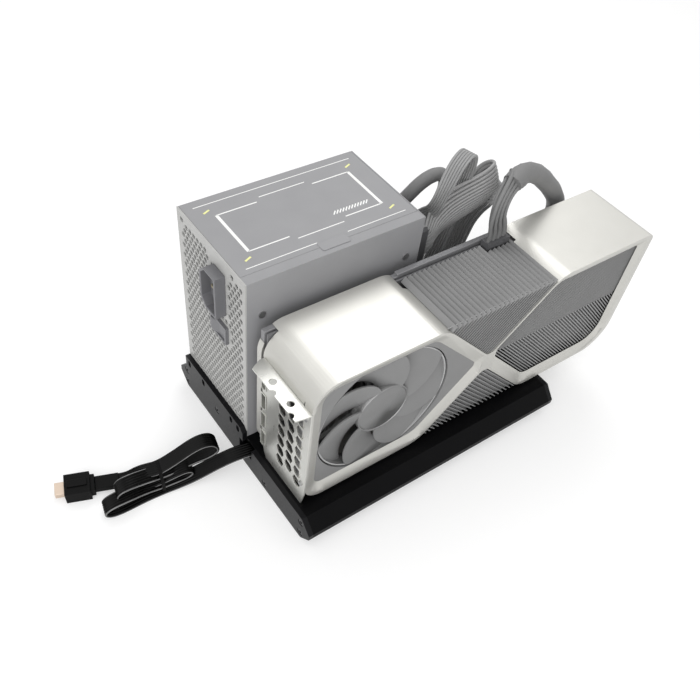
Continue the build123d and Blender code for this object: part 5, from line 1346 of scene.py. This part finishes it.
@dataclass
class Studio:
    """White table, soft light from above and the photograph's camera."""

    eye_mm: Triple = (-171.6, -293.3, 460.0)
    azimuth_deg: float = -42.97
    elevation_deg: float = 51.69
    roll_deg: float = 9.43
    lens_mm: float = 38.94
    sensor_mm: float = 36.0
    shift_up: float = 0.10
    table_half_m: float = 4.0
    table_white: float = 0.62
    table_glow: float = 0.42
    table_roughness: float = 0.9
    table_specular: float = 0.1
    room_light: float = 0.4
    room_seen: float = 1.0
    lamps: tuple[SoftBox, ...] = (
        SoftBox("top_box", (150.0, 150.0, 1300.0), (140.0, 0.0, 0.0), 2.4, 11.0),
        SoftBox("sheen_box", (760.0, 770.0, 1200.0), (60.0, -40.0, 120.0), 0.8, 5.0),
        SoftBox("front_box", (-800.0, -800.0, 700.0), (140.0, 0.0, 60.0), 1.5, 14.0))

    def camera(self) -> None:
        """Sets the camera where the photograph was taken from."""
        data = bpy.data.cameras.new("camera")
        data.lens = self.lens_mm
        data.sensor_width = self.sensor_mm
        data.shift_y = self.shift_up
        camera = bpy.data.objects.new("camera", data)
        bpy.context.scene.collection.objects.link(camera)
        a, e = math.radians(self.azimuth_deg), math.radians(self.elevation_deg)
        back = Vector((math.sin(a) * math.cos(e), -math.cos(a) * math.cos(e), math.sin(e)))
        camera.location = spot(*self.eye_mm)
        camera.rotation_mode = "QUATERNION"
        level = (-back).to_track_quat("-Z", "Y")
        camera.rotation_quaternion = level @ Quaternion((0.0, 0.0, 1.0), math.radians(self.roll_deg))
        bpy.context.scene.camera = camera

    def table(self) -> None:
        """Lays a white table that keeps faint shadows."""
        bm = bmesh.new()
        bmesh.ops.create_grid(bm, x_segments=1, y_segments=1, size=self.table_half_m)
        floor = new_object("table", mesh_from(bm, "table"))
        material = bpy.data.materials.new("white_table")
        material.use_nodes = True
        tree = material.node_tree
        shader = tree.nodes["Principled BSDF"]
        shader.inputs["Base Color"].default_value = (*[self.table_white] * 3, 1.0)
        shader.inputs["Roughness"].default_value = self.table_roughness
        shader.inputs["Specular IOR Level"].default_value = self.table_specular
        glow = add_node(tree, "ShaderNodeEmission", None,
                        {"Color": (1.0, 1.0, 1.0, 1.0), "Strength": self.table_glow})
        both = add_node(tree, "ShaderNodeAddShader", None, {0: shader.outputs[0], 1: glow.outputs[0]})
        tree.links.new(both.outputs[0], tree.nodes["Material Output"].inputs[0])
        floor.data.materials.append(material)

    def hang(self, box: SoftBox) -> None:
        """Hangs a soft box and turns it to its aim."""
        data = bpy.data.lights.new(box.name, "AREA")
        data.size = box.side_m
        data.energy = box.watts
        lamp = bpy.data.objects.new(box.name, data)
        bpy.context.scene.collection.objects.link(lamp)
        lamp.location = spot(*box.place_mm)
        lamp.rotation_mode = "QUATERNION"
        lamp.rotation_quaternion = (spot(*box.aim_mm) - spot(*box.place_mm)).to_track_quat("-Z", "Y")

    def world(self) -> None:
        """Surrounds the table with even pale light that the camera sees as white."""
        world = bpy.data.worlds.new("white_room")
        bpy.context.scene.world = world
        world.use_nodes = True
        tree = world.node_tree
        tree.nodes.clear()
        path = add_node(tree, "ShaderNodeLightPath")
        seen = add_node(tree, "ShaderNodeMath", {"operation": "MAXIMUM"},
                        {0: path.outputs["Is Camera Ray"], 1: path.outputs["Is Glossy Ray"]})
        strength = add_node(tree, "ShaderNodeMapRange", None,
                            {"Value": seen.outputs[0], "To Min": self.room_light, "To Max": self.room_seen})
        light = add_node(tree, "ShaderNodeBackground", None,
                         {"Color": (1.0, 1.0, 1.0, 1.0), "Strength": strength.outputs[0]})
        output = add_node(tree, "ShaderNodeOutputWorld")
        tree.links.new(light.outputs[0], output.inputs[0])

    def build(self) -> None:
        """Sets the camera, table, lamps and world."""
        bpy.context.scene.view_settings.view_transform = "Standard"
        self.camera()
        self.table()
        self.world()
        for box in self.lamps:
            self.hang(box)


def main() -> None:
    """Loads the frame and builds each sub-assembly."""
    logging.basicConfig(level=logging.INFO)
    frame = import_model()
    dresser = Dresser(frame["nodes"])
    Studio().build()
    UplinkCable(dresser).build()
    DockBase(dresser).build()
    PowerSupply(dresser).build()
    card = GraphicsCard(dresser)
    card.build()
    card.plug()
    card.corner()
    PowerLeads().build()


if __name__ == "__main__":
    main()
